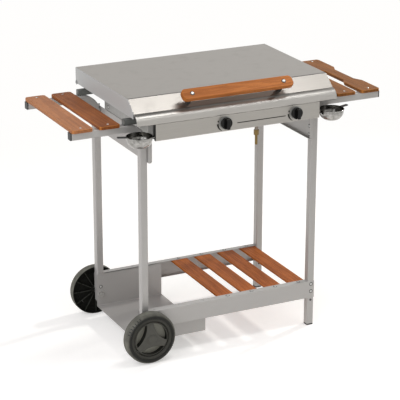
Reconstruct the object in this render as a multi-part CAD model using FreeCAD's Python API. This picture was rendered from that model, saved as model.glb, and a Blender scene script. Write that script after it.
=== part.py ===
import FreeCAD, Part
import math
import os

# A gas grill on a two-wheeled trolley, in millimetres: X to the right, Y to the back, Z up.
# Pieces are drawn about the middle of the four legs, with the floor at zero height, and are
# moved to the middle of the whole object's footprint when they are written.

# Square tube of the four bent legs
tube = 25.0
tube_wall = 1.5
tube_corner = 3.0
leg_x = 320.0
leg_y = 193.0
arm_bottom = 807.7
arm_bend = 57.0
leg_below_axle = 26.0

# Plastic plugs in the tube ends
foot_head = 5.0
arm_plug_head = 4.0
crossbar_plug_head = 3.0
plug_depth = 14.0
plug_fit = 0.2

# Folded sheet of the trolley
frame_sheet = 1.5
sheet_bend = 1.5

# Rails and slats of the lower shelf
rail_axle_gap = 14.4
rail_height = 64.0
rail_flange = 22.0
rail_lip = 12.0
rail_leg_gap = 0.5
slat_width = 60.0
slat_thickness = 9.0
slat_pitch = 93.0
slat_count = 4
slat_leg_gap = 3.0
slat_end_gap = 1.5
slat_edge = 2.0
spare_hole_radius = 2.2
spare_hole_drop = 8.4

# Gas bottle tray between the left legs
tray_overhang = 2.5
tray_slat_gap = 47.5
tray_drop = 42.5
tray_rail_gap = 0.5

# Side plates under the firebox
plate_height = 91.0
plate_panel_gap = 2.0
plate_overhang = 10.5
plate_flange = 12.0
plate_relief = 4.0

# Crossbars on the arms and the channels that carry the worktop on them
crossbar = 20.0
crossbar_wall = 1.5
crossbar_overhang = 19.0
support_inset = 30.0
support_width = 26.0
support_height = 23.1

# Worktop of stainless sheet with a bullnose front
steel = 1.2
steel_bend = 1.5
deck_side_overhang = 45.0
deck_rear_overhang = 41.0
deck_lip = 14.0
nose_overhang = 71.0
nose_side = 3.7
nose_radius = 28.0
nose_height = 35.0
nose_lip = 14.0

# Firebox, hung from the worktop between the side plates
firebox_leg_inset = 46.0
firebox_height = 101.0
firebox_flange = 18.0
ledge_width = 9.0
grate_drop = 49.0
grid_drop = 13.0
air_slot_length = 60.0
air_slot_width = 8.0
air_slot_pitch = 88.0
air_slot_inset = 52.0

# Lava grate, lava stones and cooking grid
rack_fit = 2.0
grate_bar = 4.0
grate_wire = 3.6
grate_pitch = 24.0
grid_bar = 6.0
grid_wire = 5.0
grid_pitch = 16.5
stone_radius = 14.0
stone_pitch = 42.0
stone_gap = 0.3
stone_roughness = 0.28

# Control panel under the bullnose
panel_leg_gap = 4.5
panel_height = 56.0
panel_flange = 14.0
panel_end_rise = 3.0
panel_tab = 12.0

# Gas taps and knobs
knob_end_distance = 91.0
knob_pitch = 264.0
knob_rise = 29.5
knob_radius = 20.0
knob_disc = 8.0
knob_grip_width = 12.0
knob_grip_reach = 14.0
knob_edge = 1.5
knob_gap = 4.0
knob_push = 3.0
bezel_radius = 23.0
bezel_thickness = 1.0
stem_radius = 4.0
stem_hole_radius = 6.0
stem_in_knob = 14.0
stem_in_plug = 12.0
running_fit = 0.05
plug_radius = 8.0
plug_length = 24.0
plug_front_gap = 14.0
tap_radius = 12.0
tap_length = 50.0
tap_neck_radius = 7.0
injector_radius = 4.0
injector_length = 12.0

# Manifold and its brass inlet
manifold_radius = 8.0
manifold_setback = 32.0
manifold_drop = 23.0
manifold_end = 20.0
inlet_pipe_radius = 6.0
inlet_pipe_drop = 20.0
inlet_nut_width = 15.0
inlet_nut_height = 18.0
nozzle_radius = 4.5
nozzle_bore = 2.5
nozzle_length = 34.0
nozzle_lead = 1.0

# Tube burners, bent into a long U in plan
burner_radius = 11.0
burner_wall = 1.2
burner_leg_pitch = 150.0
burner_reach = 39.0
burner_back_gap = 8.0
burner_return_gap = 32.0
burner_hole_fit = 0.3

# Hanging bowls at the ends of the panel
cup_radius = 44.0
cup_depth = 40.0
cup_wall = 1.0
cup_round = 32.0
cup_bead = 1.6
cup_panel_gap = 9.0
cup_setback = 12.0
cup_rim_rise = 23.0
tongue_width = 15.0
tongue_thickness = 1.5
tongue_drop = 9.0
tongue_hook = 7.0
tongue_fit = 0.3
tab_width = 13.0
tab_length = 31.0
tab_thickness = 2.5
tab_tilt = 3.0
tab_turn = 12.0
tab_drop = 3.4

# Lid
lid_sheet = 1.0
lid_side_gap = 2.6
lid_rear_overhang = 17.7
lid_height = 39.6
lid_setback = 26.5
lid_slope = 39.8
lid_lip_gap = 0.5
lid_hem = 5.0
lid_side_setback = 2.2
lid_skirt = 16.0
lid_bend = 2.0
lid_edge = 2.0

# Lid hinge: a rod through two ears on the worktop and the knuckles of the lid
hinge_drop = 13.0
hinge_wall_gap = 6.7
hinge_rod_radius = 3.0
hinge_rod_inset = 5.0
ear_inset = 145.0
ear_width = 40.0
ear_ring = 6.0
ear_web = 3.0
ear_drop = 12.0
ear_sheet = 2.0
knuckle_ring = 6.9
knuckle_length = 55.0
knuckle_proud = 1.2

# Wood handle on the lid's slope
handle_half_length = 203.0
handle_height = 42.0
handle_thickness = 17.0
handle_round = 15.0
handle_edge = 3.0
handle_standoff = 33.0
handle_drop = 11.0
handle_bolt_inset = 35.0
spacer_radius = 8.0
handle_bolt_radius = 2.5
handle_bolt_head = 5.0
handle_bolt_head_height = 2.5
handle_bolt_fit = 0.2

# Boards of the side shelves
board_thickness = 10.7
board_overhang = 9.3
board_round = 11.0
board_edge = 2.0
board_deck_gap = 39.0
board_width = 72.5
board_gap = 22.0
board_arm_overhang = 1.0
waist_flat = 65.0
waist_run = 32.0
waist_depth = 15.0

# Screws
screw_head_radius = 4.6
screw_head_height = 2.2
screw_radius = 2.0
screw_bite = 4.0
screw_fit = 0.2
rail_screw_drops = (12.0, 39.0)
plate_screw_rises = (11.0, 41.0)
tray_screw_rise = 29.0
firebox_screw_rise = 25.0
firebox_screw_inset = 31.0

# Wheels on stub axles through the left legs
wheel_radius = 90.0
wheel_width = 37.0
wheel_leg_gap = 17.0
tyre_depth = 23.5
tyre_round = 6.0
tyre_groove = 1.2
tread_wall = 5.0
tread_foot = 3.0
tread_rib_setback = 3.0
hub_gap = 0.3
hub_inset = 2.5
hub_rim = 5.0
hub_plate = 4.0
hub_boss = 15.5
pocket_depth = 9.0
pocket_wall = 2.5
pocket_rim = 7.2
pocket_circle = 91.0
pocket_centre = 122.0
spoke_angles = (95.0, 215.0, 335.0)
rib_count = 12
rib_thickness = 2.5
axle_radius = 5.0
axle_hole_fit = 0.1
sleeve_radius = 9.0
nut_width = 17.0
nut_height = 8.0
cap_radius = 15.5
cap_height = 4.0
cap_socket = 2.0

# Places of the legs, the wheels and the lower shelf, which follow from the sizes above
leg_inner_x = leg_x - tube / 2
leg_outer_x = leg_x + tube / 2
leg_inner_y = leg_y - tube / 2
leg_outer_y = leg_y + tube / 2
axle_z = wheel_radius
left_leg_end = axle_z - leg_below_axle
wheel_x = -leg_x
wheel_inner_y = leg_outer_y + wheel_leg_gap
wheel_outer_y = wheel_inner_y + wheel_width
tyre_inner = wheel_radius - tyre_depth
rail_bottom = axle_z + rail_axle_gap
rail_top = rail_bottom + rail_height
last_slat_x = leg_inner_x - slat_leg_gap - slat_width / 2
first_slat_x = last_slat_x - (slat_count - 1) * slat_pitch
tray_left = -leg_outer_x - tray_overhang
tray_right = first_slat_x - slat_width / 2 - tray_slat_gap
tray_floor = axle_z - tray_drop

# Places of the worktop and what hangs from it
arm_top = arm_bottom + tube
arm_middle = arm_bottom + tube / 2
crossbar_middle = arm_top + crossbar / 2
crossbar_top = arm_top + crossbar
deck_bottom = crossbar_top + support_height
deck_top = deck_bottom + steel
deck_half_width = leg_x + deck_side_overhang
deck_rear_y = leg_y + deck_rear_overhang
crossbar_end_x = deck_half_width + crossbar_overhang
support_x = deck_half_width - support_inset
nose_half_width = deck_half_width + nose_side
nose_front_y = -leg_y - nose_overhang
nose_rear_y = nose_front_y + nose_radius
nose_bottom = deck_top - nose_height
firebox_half_width = leg_inner_x - frame_sheet
firebox_half_depth = leg_y - firebox_leg_inset
firebox_bottom = deck_top - firebox_height
grate_ledge = deck_top - grate_drop
grid_ledge = deck_top - grid_drop
air_slot_y = firebox_half_depth - air_slot_inset

# Places of the panel, the taps and the bowls
panel_half_width = leg_inner_x - panel_leg_gap
panel_bottom = nose_bottom - panel_height
panel_end_bottom = panel_bottom + panel_end_rise
panel_back_y = nose_front_y + steel
plate_top = panel_end_bottom - plate_panel_gap
plate_bottom = plate_top - plate_height
right_knob_x = panel_half_width - knob_end_distance
knob_xs = (right_knob_x - knob_pitch, right_knob_x)
knob_z = panel_bottom + knob_rise
knob_rear_y = nose_front_y - bezel_thickness - knob_gap
manifold_y = nose_front_y + manifold_setback
manifold_z = knob_z - manifold_drop
inlet_pipe_bottom = panel_bottom - inlet_pipe_drop
inlet_nut_bottom = inlet_pipe_bottom - inlet_nut_height
nozzle_bottom = inlet_nut_bottom - nozzle_length
burner_front_y = -firebox_half_depth - burner_reach
burner_back_y = firebox_half_depth - steel - burner_back_gap - burner_leg_pitch / 2 - burner_radius
burner_return_y = burner_return_gap - firebox_half_depth
cup_x = panel_half_width + cup_panel_gap + cup_radius
cup_y = nose_front_y + cup_setback
cup_rim_z = panel_bottom + cup_rim_rise

# Places of the lid, its hinge and the boards
lid_half_width = deck_half_width + lid_side_gap + lid_sheet
lid_rear_y = deck_rear_y + lid_rear_overhang
lid_top = deck_top + lid_height
lid_lip_z = deck_top + lid_lip_gap
lid_lip_y = nose_front_y + lid_setback
lid_brow_y = lid_lip_y + (lid_top - lid_lip_z) / math.tan(math.radians(lid_slope))
lid_side_front_y = lid_lip_y + lid_side_setback
lid_side_bottom = deck_top - lid_skirt
hinge_y = lid_rear_y - lid_sheet - hinge_wall_gap
hinge_z = deck_top - hinge_drop
ear_x = deck_half_width - ear_inset
handle_bolt_x = handle_half_length - handle_bolt_inset
board_half_length = leg_outer_y + board_overhang
inner_board = (deck_half_width + board_deck_gap, deck_half_width + board_deck_gap + board_width)
outer_board = (inner_board[1] + board_gap, inner_board[1] + board_gap + board_width)
board_top = arm_top + board_thickness
arm_end_x = outer_board[1] - board_arm_overhang


def vector(x, y, z):
    return FreeCAD.Vector(x, y, z)


def on_plane(plane, u, v, w):
    """The point at (u, v) of a drawing plane, w off the paper."""
    if plane == "yz":
        return vector(w, u, v)
    if plane == "xz":
        return vector(u, w, v)
    return vector(u, v, w)


def rounded_face(plane, w, corners):
    """A flat face whose corners are (u, v, radius)."""
    points = [on_plane(plane, u, v, w) for u, v, radius in corners]
    count = len(points)
    starts = []
    ends = []
    arcs = []
    for i in range(count):
        here = points[i]
        to_before = (points[i - 1] - here).normalize()
        to_after = (points[(i + 1) % count] - here).normalize()
        radius = corners[i][2]
        if radius <= 0:
            starts.append(here)
            ends.append(here)
            arcs.append(None)
            continue
        half_angle = to_before.getAngle(to_after) / 2
        reach = radius / math.tan(half_angle)
        inward = (to_before + to_after).normalize()
        middle = here + inward * (radius / math.sin(half_angle) - radius)
        starts.append(here + to_before * reach)
        ends.append(here + to_after * reach)
        arcs.append(Part.Arc(starts[-1], middle, ends[-1]).toShape())
    edges = []
    for i in range(count):
        if arcs[i] is not None:
            edges.append(arcs[i])
        following = starts[(i + 1) % count]
        if ends[i].distanceToPoint(following) > 1e-6:
            edges.append(Part.makeLine(ends[i], following))
    return Part.Face(Part.Wire(edges))


def prism(plane, w0, w1, corners):
    return rounded_face(plane, w0, corners).extrude(on_plane(plane, 0, 0, w1 - w0))


def block(x0, x1, y0, y1, z0, z1):
    return Part.makeBox(x1 - x0, y1 - y0, z1 - z0, vector(x0, y0, z0))


def rectangle(u0, u1, v0, v1, radius):
    return [(u0, v0, radius), (u1, v0, radius), (u1, v1, radius), (u0, v1, radius)]


def sheet_corners(path, thickness):
    """The outline of a folded sheet. The path (u, v, inside bend radius) is one face of it,
    and the thickness lies to the left of the path, or to its right when negative."""
    normals = []
    for (u0, v0, r0), (u1, v1, r1) in zip(path, path[1:]):
        length = math.hypot(u1 - u0, v1 - v0)
        normals.append(((v0 - v1) / length, (u1 - u0) / length))
    near = []
    far = []
    for i, (u, v, bend) in enumerate(path):
        before = normals[max(i - 1, 0)]
        after = normals[min(i, len(normals) - 1)]
        scale = thickness / (1 + before[0] * after[0] + before[1] * after[1])
        turn_left = before[0] * after[1] - before[1] * after[0] > 0
        inside_is_far = turn_left == (thickness > 0)
        wide = bend + abs(thickness) if bend > 0 else 0
        near.append((u, v, wide if inside_is_far else bend))
        far.append((u + (before[0] + after[0]) * scale, v + (before[1] + after[1]) * scale,
                    bend if inside_is_far else wide))
    return near + far[::-1]


def folded_sheet(plane, w0, w1, path, thickness):
    return prism(plane, w0, w1, sheet_corners(path, thickness))


def rod(radius, start, end):
    return Part.makeCylinder(radius, start.distanceToPoint(end), start, end - start)


def hexagon(across, start, end):
    """A hexagon nut's body between two points on its axis."""
    along = (end - start).normalize()
    side = along.cross(vector(1, 0, 0))
    if side.Length < 0.5:
        side = along.cross(vector(0, 1, 0))
    side = side.normalize()
    corner = across / math.sqrt(3)
    turns = [FreeCAD.Rotation(along, 60 * i) for i in range(7)]
    points = [start + turn.multVec(side * corner) for turn in turns]
    return Part.Face(Part.makePolygon(points)).extrude(end - start)


def mirrored(shape, normal):
    return shape.mirror(vector(0, 0, 0), normal)


def left_right(shape):
    return mirrored(shape, vector(1, 0, 0))


def front_back(shape):
    return mirrored(shape, vector(0, 1, 0))


def soften(shape, radius, wanted):
    """Rounds the edges whose middle points pass a test."""
    edges = [edge for edge in shape.Edges if wanted(edge.CenterOfMass)]
    return shape.makeFillet(radius, edges)


def merged(first, *others):
    return first.fuse(list(others)).removeSplitter()


def tube_ring(plane, w, u, v, size, wall, corner):
    outer = rectangle(u - size / 2, u + size / 2, v - size / 2, v + size / 2, corner)
    bore = size / 2 - wall
    inner = rectangle(u - bore, u + bore, v - bore, v + bore, corner - wall)
    return rounded_face(plane, w, outer).cut(rounded_face(plane, w, inner))


def screw(seat, into, grip):
    """A pan-head screw: its head stands on the seat and its shank runs into the pieces."""
    along = vector(*into)
    head = rod(screw_head_radius, seat, seat - along * screw_head_height)
    shank = rod(screw_radius, seat, seat + along * (grip + screw_bite))
    return merged(head, shank)


def screw_hole(seat, into, grip):
    along = vector(*into)
    deep = grip + screw_bite + 1
    return rod(screw_radius + screw_fit, seat - along * screw_head_height, seat + along * deep)


def rail_screw_seats(front):
    """Screws through a rail's web into both legs."""
    y = front * (leg_outer_y + frame_sheet)
    return [vector(side * leg_x, y, rail_top - drop) for side in (-1, 1) for drop in rail_screw_drops]


def plate_screw_seats(side):
    """Screws through a side plate into its two legs."""
    x = side * (leg_inner_x - frame_sheet)
    return [vector(x, front * leg_y, plate_bottom + rise) for front in (-1, 1) for rise in plate_screw_rises]


def tray_screw_seats(front):
    return [vector(-leg_x, front * (leg_inner_y - frame_sheet), axle_z + tray_screw_rise)]


def slat_xs():
    return [first_slat_x + i * slat_pitch for i in range(slat_count)]


def flange_seats(xs):
    y = leg_outer_y + frame_sheet - rail_flange / 2
    return [vector(x, front * y, rail_top) for x in xs for front in (-1, 1)]


def firebox_screw_seats(side):
    rear_y = firebox_half_depth - firebox_screw_inset
    return [vector(side * firebox_half_width, rear_y, firebox_bottom + firebox_screw_rise)]


def slat_screw_seats():
    return flange_seats(slat_xs())


def spare_hole_xs():
    """The rails are punched at the slats' pitch over the bottle tray too."""
    count = int((first_slat_x + leg_inner_x) // slat_pitch)
    return [first_slat_x - (i + 1) * slat_pitch for i in range(count)]


def board_middle_x(board):
    return (board[0] + board[1]) / 2


def board_screw_seats(side):
    return [vector(side * board_middle_x(board), front * leg_y, board_top)
            for board in (inner_board, outer_board) for front in (-1, 1)]


def drilled(shape, seats, into, grip):
    return shape.cut([screw_hole(seat, into, grip) for seat in seats])


def leg(side, front):
    """One tube: a leg that turns outwards at the top into a shelf arm."""
    low = foot_head if side > 0 else left_leg_end
    bend_z = arm_middle - arm_bend
    x = side * leg_x
    y = front * leg_y
    ring = tube_ring("xy", low, x, y, tube, tube_wall, tube_corner)
    upright = ring.extrude(vector(0, 0, bend_z - low))
    pivot = vector(side * (leg_x + arm_bend), y, bend_z)
    bend = tube_ring("xy", bend_z, x, y, tube, tube_wall, tube_corner).revolve(pivot, vector(0, side, 0), 90)
    arm_ring = tube_ring("yz", pivot.x, y, arm_middle, tube, tube_wall, tube_corner)
    arm = arm_ring.extrude(vector(side * arm_end_x - pivot.x, 0, 0))
    whole = merged(upright, bend, arm)
    rail_seats = [seat for seat in rail_screw_seats(front) if seat.x * side > 0]
    plate_seats = [seat for seat in plate_screw_seats(side) if seat.y * front > 0]
    board_seats = [seat for seat in board_screw_seats(side) if seat.y * front > 0]
    whole = drilled(whole, rail_seats, (0, -front, 0), frame_sheet)
    whole = drilled(whole, plate_seats, (side, 0, 0), frame_sheet)
    whole = drilled(whole, board_seats, (0, 0, -1), board_thickness)
    if side < 0:
        whole = drilled(whole, tray_screw_seats(front), (0, front, 0), frame_sheet)
        return whole.cut(axle_hole(front))
    spare_z = rail_bottom - spare_hole_drop
    spare_mouth = vector(x, front * (leg_outer_y + 1), spare_z)
    return whole.cut(rod(spare_hole_radius, spare_mouth, vector(x, y, spare_z)))


def plug(size, wall, head):
    """A plug for a square tube along +Z: the head below zero and the spigot above it."""
    half = size / 2
    spigot = half - wall - plug_fit
    cap = prism("xy", -head, 0, rectangle(-half, half, -half, half, tube_corner))
    return merged(cap, prism("xy", 0, plug_depth, rectangle(-spigot, spigot, -spigot, spigot, wall)))


def placed(shape, place, axis, angle):
    moved = shape.copy()
    moved.Placement = FreeCAD.Placement(place, FreeCAD.Rotation(axis, angle))
    return moved


def side_plugs(shape, end_x, middle):
    """Plugs in both ends of the front and rear tubes that run across the trolley."""
    return [placed(shape, vector(side * end_x, front * leg_y, middle), vector(0, 1, 0), -90 * side)
            for side in (-1, 1) for front in (-1, 1)]


def arm_end_plugs():
    return side_plugs(plug(tube, tube_wall, arm_plug_head), arm_end_x, arm_middle)


def crossbar_end_plugs():
    return side_plugs(plug(crossbar, crossbar_wall, crossbar_plug_head), crossbar_end_x, crossbar_middle)


def leg_end_plugs():
    heights = {-1: left_leg_end, 1: foot_head}
    foot = plug(tube, tube_wall, foot_head)
    return [placed(foot, vector(side * leg_x, front * leg_y, heights[side]), vector(0, 0, 1), 0)
            for side in (-1, 1) for front in (-1, 1)]


def shelf_rail_front():
    """A folded channel: its web covers the legs' front faces and its flanges pass between them."""
    web = -leg_outer_y - frame_sheet
    path = [(web + rail_lip, rail_bottom, 0), (web, rail_bottom, sheet_bend), (web, rail_top, sheet_bend),
            (web + rail_flange, rail_top, 0)]
    rail = folded_sheet("yz", -leg_outer_x, leg_outer_x, path, -frame_sheet)
    inner = leg_inner_x - rail_leg_gap
    for side in (-1, 1):
        ends = sorted((side * inner, side * (leg_outer_x + 1)))
        rail = rail.cut(block(ends[0], ends[1], -leg_outer_y, 0, rail_bottom - 1, rail_top + 1))
    rail = drilled(rail, rail_screw_seats(-1), (0, 1, 0), frame_sheet)
    rail = drilled(rail, slat_screw_seats(), (0, 0, -1), frame_sheet)
    through = vector(0, 0, 2 * frame_sheet)
    spares = flange_seats(spare_hole_xs())
    return rail.cut([rod(spare_hole_radius, seat + through, seat - through) for seat in spares])


def shelf_slat(x):
    top = rail_top - frame_sheet
    half = leg_outer_y - slat_end_gap
    slat = block(x - slat_width / 2, x + slat_width / 2, -half, half, top - slat_thickness, top)
    slat = soften(slat, slat_edge, lambda p: abs(p.y) < 1)
    return drilled(slat, slat_screw_seats(), (0, 0, -1), frame_sheet + slat_thickness / 2)


def bottle_tray():
    """A folded trough screwed to the inner sides of the left legs."""
    low = tray_floor - frame_sheet
    high = rail_top - frame_sheet - tray_rail_gap
    wall = leg_inner_y
    path = [(-wall, high, 0), (-wall, low, sheet_bend), (wall, low, sheet_bend), (wall, high, 0)]
    tray = folded_sheet("yz", tray_left, tray_right, path, frame_sheet)
    for front in (-1, 1):
        tray = drilled(tray, tray_screw_seats(front), (0, front, 0), frame_sheet)
        tray = tray.cut(axle_hole(front))
    return tray


def side_plate_right():
    """A plate on the legs' inner faces with flanges turned in at its bottom and both ends."""
    outer = leg_inner_x
    end = leg_outer_y + plate_overhang
    ends_path = [(outer - plate_flange, -end, 0), (outer, -end, sheet_bend), (outer, end, sheet_bend),
                 (outer - plate_flange, end, 0)]
    upright = folded_sheet("xy", plate_bottom + plate_relief, plate_top, ends_path, frame_sheet)
    foot_path = [(outer - plate_flange, plate_bottom, 0), (outer, plate_bottom, sheet_bend),
                 (outer, plate_top, 0)]
    foot = folded_sheet("xz", plate_relief - end, end - plate_relief, foot_path, frame_sheet)
    return drilled(merged(upright, foot), plate_screw_seats(1), (1, 0, 0), frame_sheet)


def crossbar_front():
    ring = tube_ring("yz", -crossbar_end_x, -leg_y, crossbar_middle, crossbar, crossbar_wall, tube_corner)
    return ring.extrude(vector(2 * crossbar_end_x, 0, 0))


def worktop_supports():
    """Four folded channels that stand on the crossbars under the worktop."""
    channels = []
    for side in (-1, 1):
        web = side * (support_x + support_width / 2)
        toe = side * (support_x - support_width / 2)
        path = [(toe, crossbar_top, 0), (web, crossbar_top, sheet_bend), (web, deck_bottom, sheet_bend),
                (toe, deck_bottom, 0)]
        for front in (-1, 1):
            middle = front * leg_y
            channels.append(folded_sheet("xz", middle - crossbar / 2, middle + crossbar / 2, path,
                                         side * frame_sheet))
    return channels


def worktop():
    """A deck with its front rolled over into a bullnose and its other edges turned down."""
    lip_bottom = deck_top - deck_lip
    path = [(deck_rear_y, lip_bottom, 0), (deck_rear_y, deck_top, steel_bend),
            (nose_front_y, deck_top, nose_radius - steel), (nose_front_y, nose_bottom, steel_bend),
            (nose_front_y + nose_lip, nose_bottom, 0)]
    top = folded_sheet("yz", -nose_half_width, nose_half_width, path, steel)
    for side in (-1, 1):
        ends = sorted((side * deck_half_width, side * (nose_half_width + 1)))
        top = top.cut(block(ends[0], ends[1], nose_rear_y, deck_rear_y + 1, lip_bottom - 1, deck_top + 1))
        edges = sorted((side * deck_half_width, side * (deck_half_width - steel)))
        top = merged(top, block(edges[0], edges[1], nose_rear_y, deck_rear_y, lip_bottom, deck_top))
    half_width = firebox_half_width - steel
    half_depth = firebox_half_depth - steel
    return top.cut(block(-half_width, half_width, -half_depth, half_depth, lip_bottom, deck_top + 1))


def firebox():
    """An open sheet box with a hanging flange, rack ledges, burner holes and air slots."""
    half_width = firebox_half_width
    half_depth = firebox_half_depth
    box = block(-half_width, half_width, -half_depth, half_depth, firebox_bottom, deck_bottom)
    brim = block(-half_width - firebox_flange, half_width + firebox_flange, -half_depth - firebox_flange,
                 half_depth + firebox_flange, deck_bottom - steel, deck_bottom)
    hollow = block(steel - half_width, half_width - steel, steel - half_depth, half_depth - steel,
                   firebox_bottom + steel, deck_bottom + 1)
    body = merged(box, brim).cut(hollow)
    for ledge in (grate_ledge, grid_ledge):
        for front in (-1, 1):
            ys = sorted((front * half_depth, front * (half_depth - steel - ledge_width)))
            body = merged(body, block(-half_width, half_width, ys[0], ys[1], ledge - steel, ledge))
    holes = [rod(burner_radius + burner_hole_fit, vector(x, -half_depth - 1, knob_z), vector(x, 0, knob_z))
             for x in knob_xs]
    slots = int((2 * half_width - air_slot_length) // air_slot_pitch) + 1
    for i in range(slots):
        x = (i - (slots - 1) / 2) * air_slot_pitch
        for y in (-air_slot_y, air_slot_y):
            outline = rectangle(x - air_slot_length / 2, x + air_slot_length / 2, y - air_slot_width / 2,
                                y + air_slot_width / 2, air_slot_width / 2 - 0.01)
            holes.append(prism("xy", firebox_bottom - 1, firebox_bottom + steel + 1, outline))
    for side in (-1, 1):
        holes += [screw_hole(seat, (-side, 0, 0), steel) for seat in firebox_screw_seats(side)]
    return body.cut(holes)


def wire_xs(bar, pitch):
    """The places of a rack's wires between the side bars of its frame."""
    count = int(2 * (firebox_half_width - steel - rack_fit - bar) // pitch)
    return [(i - (count - 1) / 2) * pitch for i in range(count)]


def rack(bottom, bar, wire, pitch):
    """A wire rack: round wires from front to back in a square-bar frame."""
    half_width = firebox_half_width - steel - rack_fit
    half_depth = firebox_half_depth - steel - rack_fit
    outer = block(-half_width, half_width, -half_depth, half_depth, bottom, bottom + bar)
    inner = block(bar - half_width, half_width - bar, bar - half_depth, half_depth - bar, bottom - 1,
                  bottom + bar + 1)
    reach = half_depth - bar / 2
    level = bottom + bar / 2
    wires = [rod(wire / 2, vector(x, -reach, level), vector(x, reach, level)) for x in wire_xs(bar, pitch)]
    return merged(outer.cut(inner), *wires)


def stone(seat, seed):
    """A rough lava stone: a twenty-sided solid with uneven corners, its lowest one on the seat."""
    golden = (1 + math.sqrt(5)) / 2
    corners = []
    for a in (-1, 1):
        for b in (-golden, golden):
            corners += [vector(0, a, b), vector(a, b, 0), vector(b, 0, a)]
    rough = []
    for i, corner in enumerate(corners):
        share = 1 - stone_roughness * (1 - math.sin(seed * 12.9 + i * 4.7)) / 2
        rough.append(corner.normalize() * stone_radius * share)
    longest_edge = 1.2
    faces = []
    for i in range(12):
        for j in range(i + 1, 12):
            for k in range(j + 1, 12):
                trio = (corners[i], corners[j], corners[k])
                if all(a.distanceToPoint(b) < longest_edge for a, b in zip(trio, trio[1:] + trio[:1])):
                    faces.append(Part.Face(Part.makePolygon([rough[i], rough[j], rough[k], rough[i]])))
    solid = Part.Solid(Part.makeShell(faces))
    if solid.Volume < 0:
        solid.reverse()
    lowest = min(rough, key=lambda corner: corner.z)
    return placed(solid, seat - lowest, vector(0, 0, 1), 0)


def lava_stones():
    """Stones in rows along every second wire of the lava grate, each of its own shape."""
    half_depth = firebox_half_depth - steel - 2 * stone_radius - rack_fit
    rows = int(2 * half_depth // stone_pitch) + 1
    slack = (stone_pitch - 2 * stone_radius) / 2 - stone_gap
    level = grate_ledge + (grate_bar + grate_wire) / 2 + stone_gap
    stones = []
    for column, x in enumerate(wire_xs(grate_bar, grate_pitch)[1:-1:2]):
        for row in range(rows):
            seed = column * rows + row
            y = (row - (rows - 1) / 2) * stone_pitch + slack * math.sin(seed * 3.1 + 1) / 2
            stones.append(stone(vector(x, y, level), seed))
    return stones


def control_panel():
    """A folded front with end flanges that run back to tabs on the front crossbar."""
    top = nose_bottom
    path = [(nose_front_y + panel_flange, top, 0), (nose_front_y, top, steel_bend),
            (nose_front_y, panel_bottom, steel_bend), (nose_front_y + panel_flange, panel_bottom, 0)]
    panel = folded_sheet("yz", -panel_half_width, panel_half_width, path, steel)
    rear = -leg_y - crossbar / 2
    for side in (-1, 1):
        outer = side * panel_half_width
        end_path = [(outer, nose_front_y + steel / 2, 0), (outer, rear, steel_bend),
                    (outer - side * panel_tab, rear, 0)]
        flange = folded_sheet("xy", panel_end_bottom, top - steel, end_path, side * steel)
        tab_cut = sorted((outer - side * (steel + steel_bend), outer - side * (panel_tab + 1)))
        tab_gap = block(tab_cut[0], tab_cut[1], rear - steel - 1, rear + 1, panel_end_bottom, arm_top + 1)
        panel = merged(panel, flange.cut(tab_gap))
        panel = panel.cut(cup_slot(side))
    holes = [rod(stem_hole_radius, vector(x, nose_front_y - 1, knob_z), vector(x, panel_back_y + 1, knob_z))
             for x in knob_xs]
    return panel.cut(holes)


def knob_bezels():
    rings = []
    for x in knob_xs:
        back = vector(x, nose_front_y, knob_z)
        face = vector(x, nose_front_y - bezel_thickness, knob_z)
        beyond = vector(x, nose_front_y - 2 * bezel_thickness, knob_z)
        rings.append(rod(bezel_radius, back, face).cut(rod(stem_hole_radius, back, beyond)))
    return rings


def knob(x):
    """A round knob with an upright grip bar across its face."""
    rear = knob_rear_y
    face = rear - knob_disc
    tip = face - knob_grip_reach
    disc = rod(knob_radius, vector(x, rear, knob_z), vector(x, face, knob_z))
    disc = soften(disc, knob_edge, lambda p: abs(p.y - face) < 0.01)
    half = math.sqrt(knob_radius ** 2 - (knob_grip_width / 2) ** 2) - knob_edge
    grip = block(x - knob_grip_width / 2, x + knob_grip_width / 2, tip, rear - knob_disc / 2, knob_z - half,
                 knob_z + half)
    grip = soften(grip, 2 * knob_edge, lambda p: p.y < face - knob_edge)
    deep = rear - stem_in_knob
    socket = rod(stem_radius + running_fit, vector(x, rear + 1, knob_z), vector(x, deep, knob_z))
    return merged(disc, grip).cut(socket)


def tap_stem(x):
    inner = plug_front_y() + stem_in_plug
    outer = knob_rear_y - stem_in_knob + running_fit
    return rod(stem_radius, vector(x, inner, knob_z), vector(x, outer, knob_z))


def plug_front_y():
    return panel_back_y + plug_front_gap


def tap_plug(x):
    """The turning gas plug, with a blind socket for the stem and a cross port."""
    front = plug_front_y()
    back = front + plug_length
    body = rod(plug_radius, vector(x, front, knob_z), vector(x, back, knob_z))
    depth = stem_in_plug + knob_push + 1
    socket = rod(stem_radius + running_fit, vector(x, front - 1, knob_z), vector(x, front + depth, knob_z))
    port_y = back - (plug_length - depth) / 2
    port = rod(inlet_pipe_radius / 3, vector(x, port_y, knob_z - plug_radius - 1), vector(x, port_y, knob_z))
    return body.cut([socket, port])


def tap_body(x):
    """A brass tap behind the panel, seated on the manifold, with an injector at its back."""
    back = panel_back_y + tap_length
    body = rod(tap_radius, vector(x, panel_back_y, knob_z), vector(x, back, knob_z))
    neck = rod(tap_neck_radius, vector(x, manifold_y, knob_z), vector(x, manifold_y, manifold_z))
    injector = rod(injector_radius, vector(x, back - 1, knob_z), vector(x, back + injector_length, knob_z))
    chamber_back = plug_front_y() + plug_length + 2 * running_fit
    mouth = vector(x, panel_back_y - 1, knob_z)
    chamber = rod(plug_radius + running_fit, mouth, vector(x, chamber_back, knob_z))
    return merged(body, neck, injector).cut([chamber, manifold_tube(manifold_radius + plug_fit)])


def manifold_tube(radius):
    start = vector(knob_xs[0] - manifold_end, manifold_y, manifold_z)
    end = vector(knob_xs[-1] + manifold_end, manifold_y, manifold_z)
    return rod(radius, start, end)


def inlet_x():
    return (knob_xs[0] + knob_xs[-1]) / 2


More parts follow.
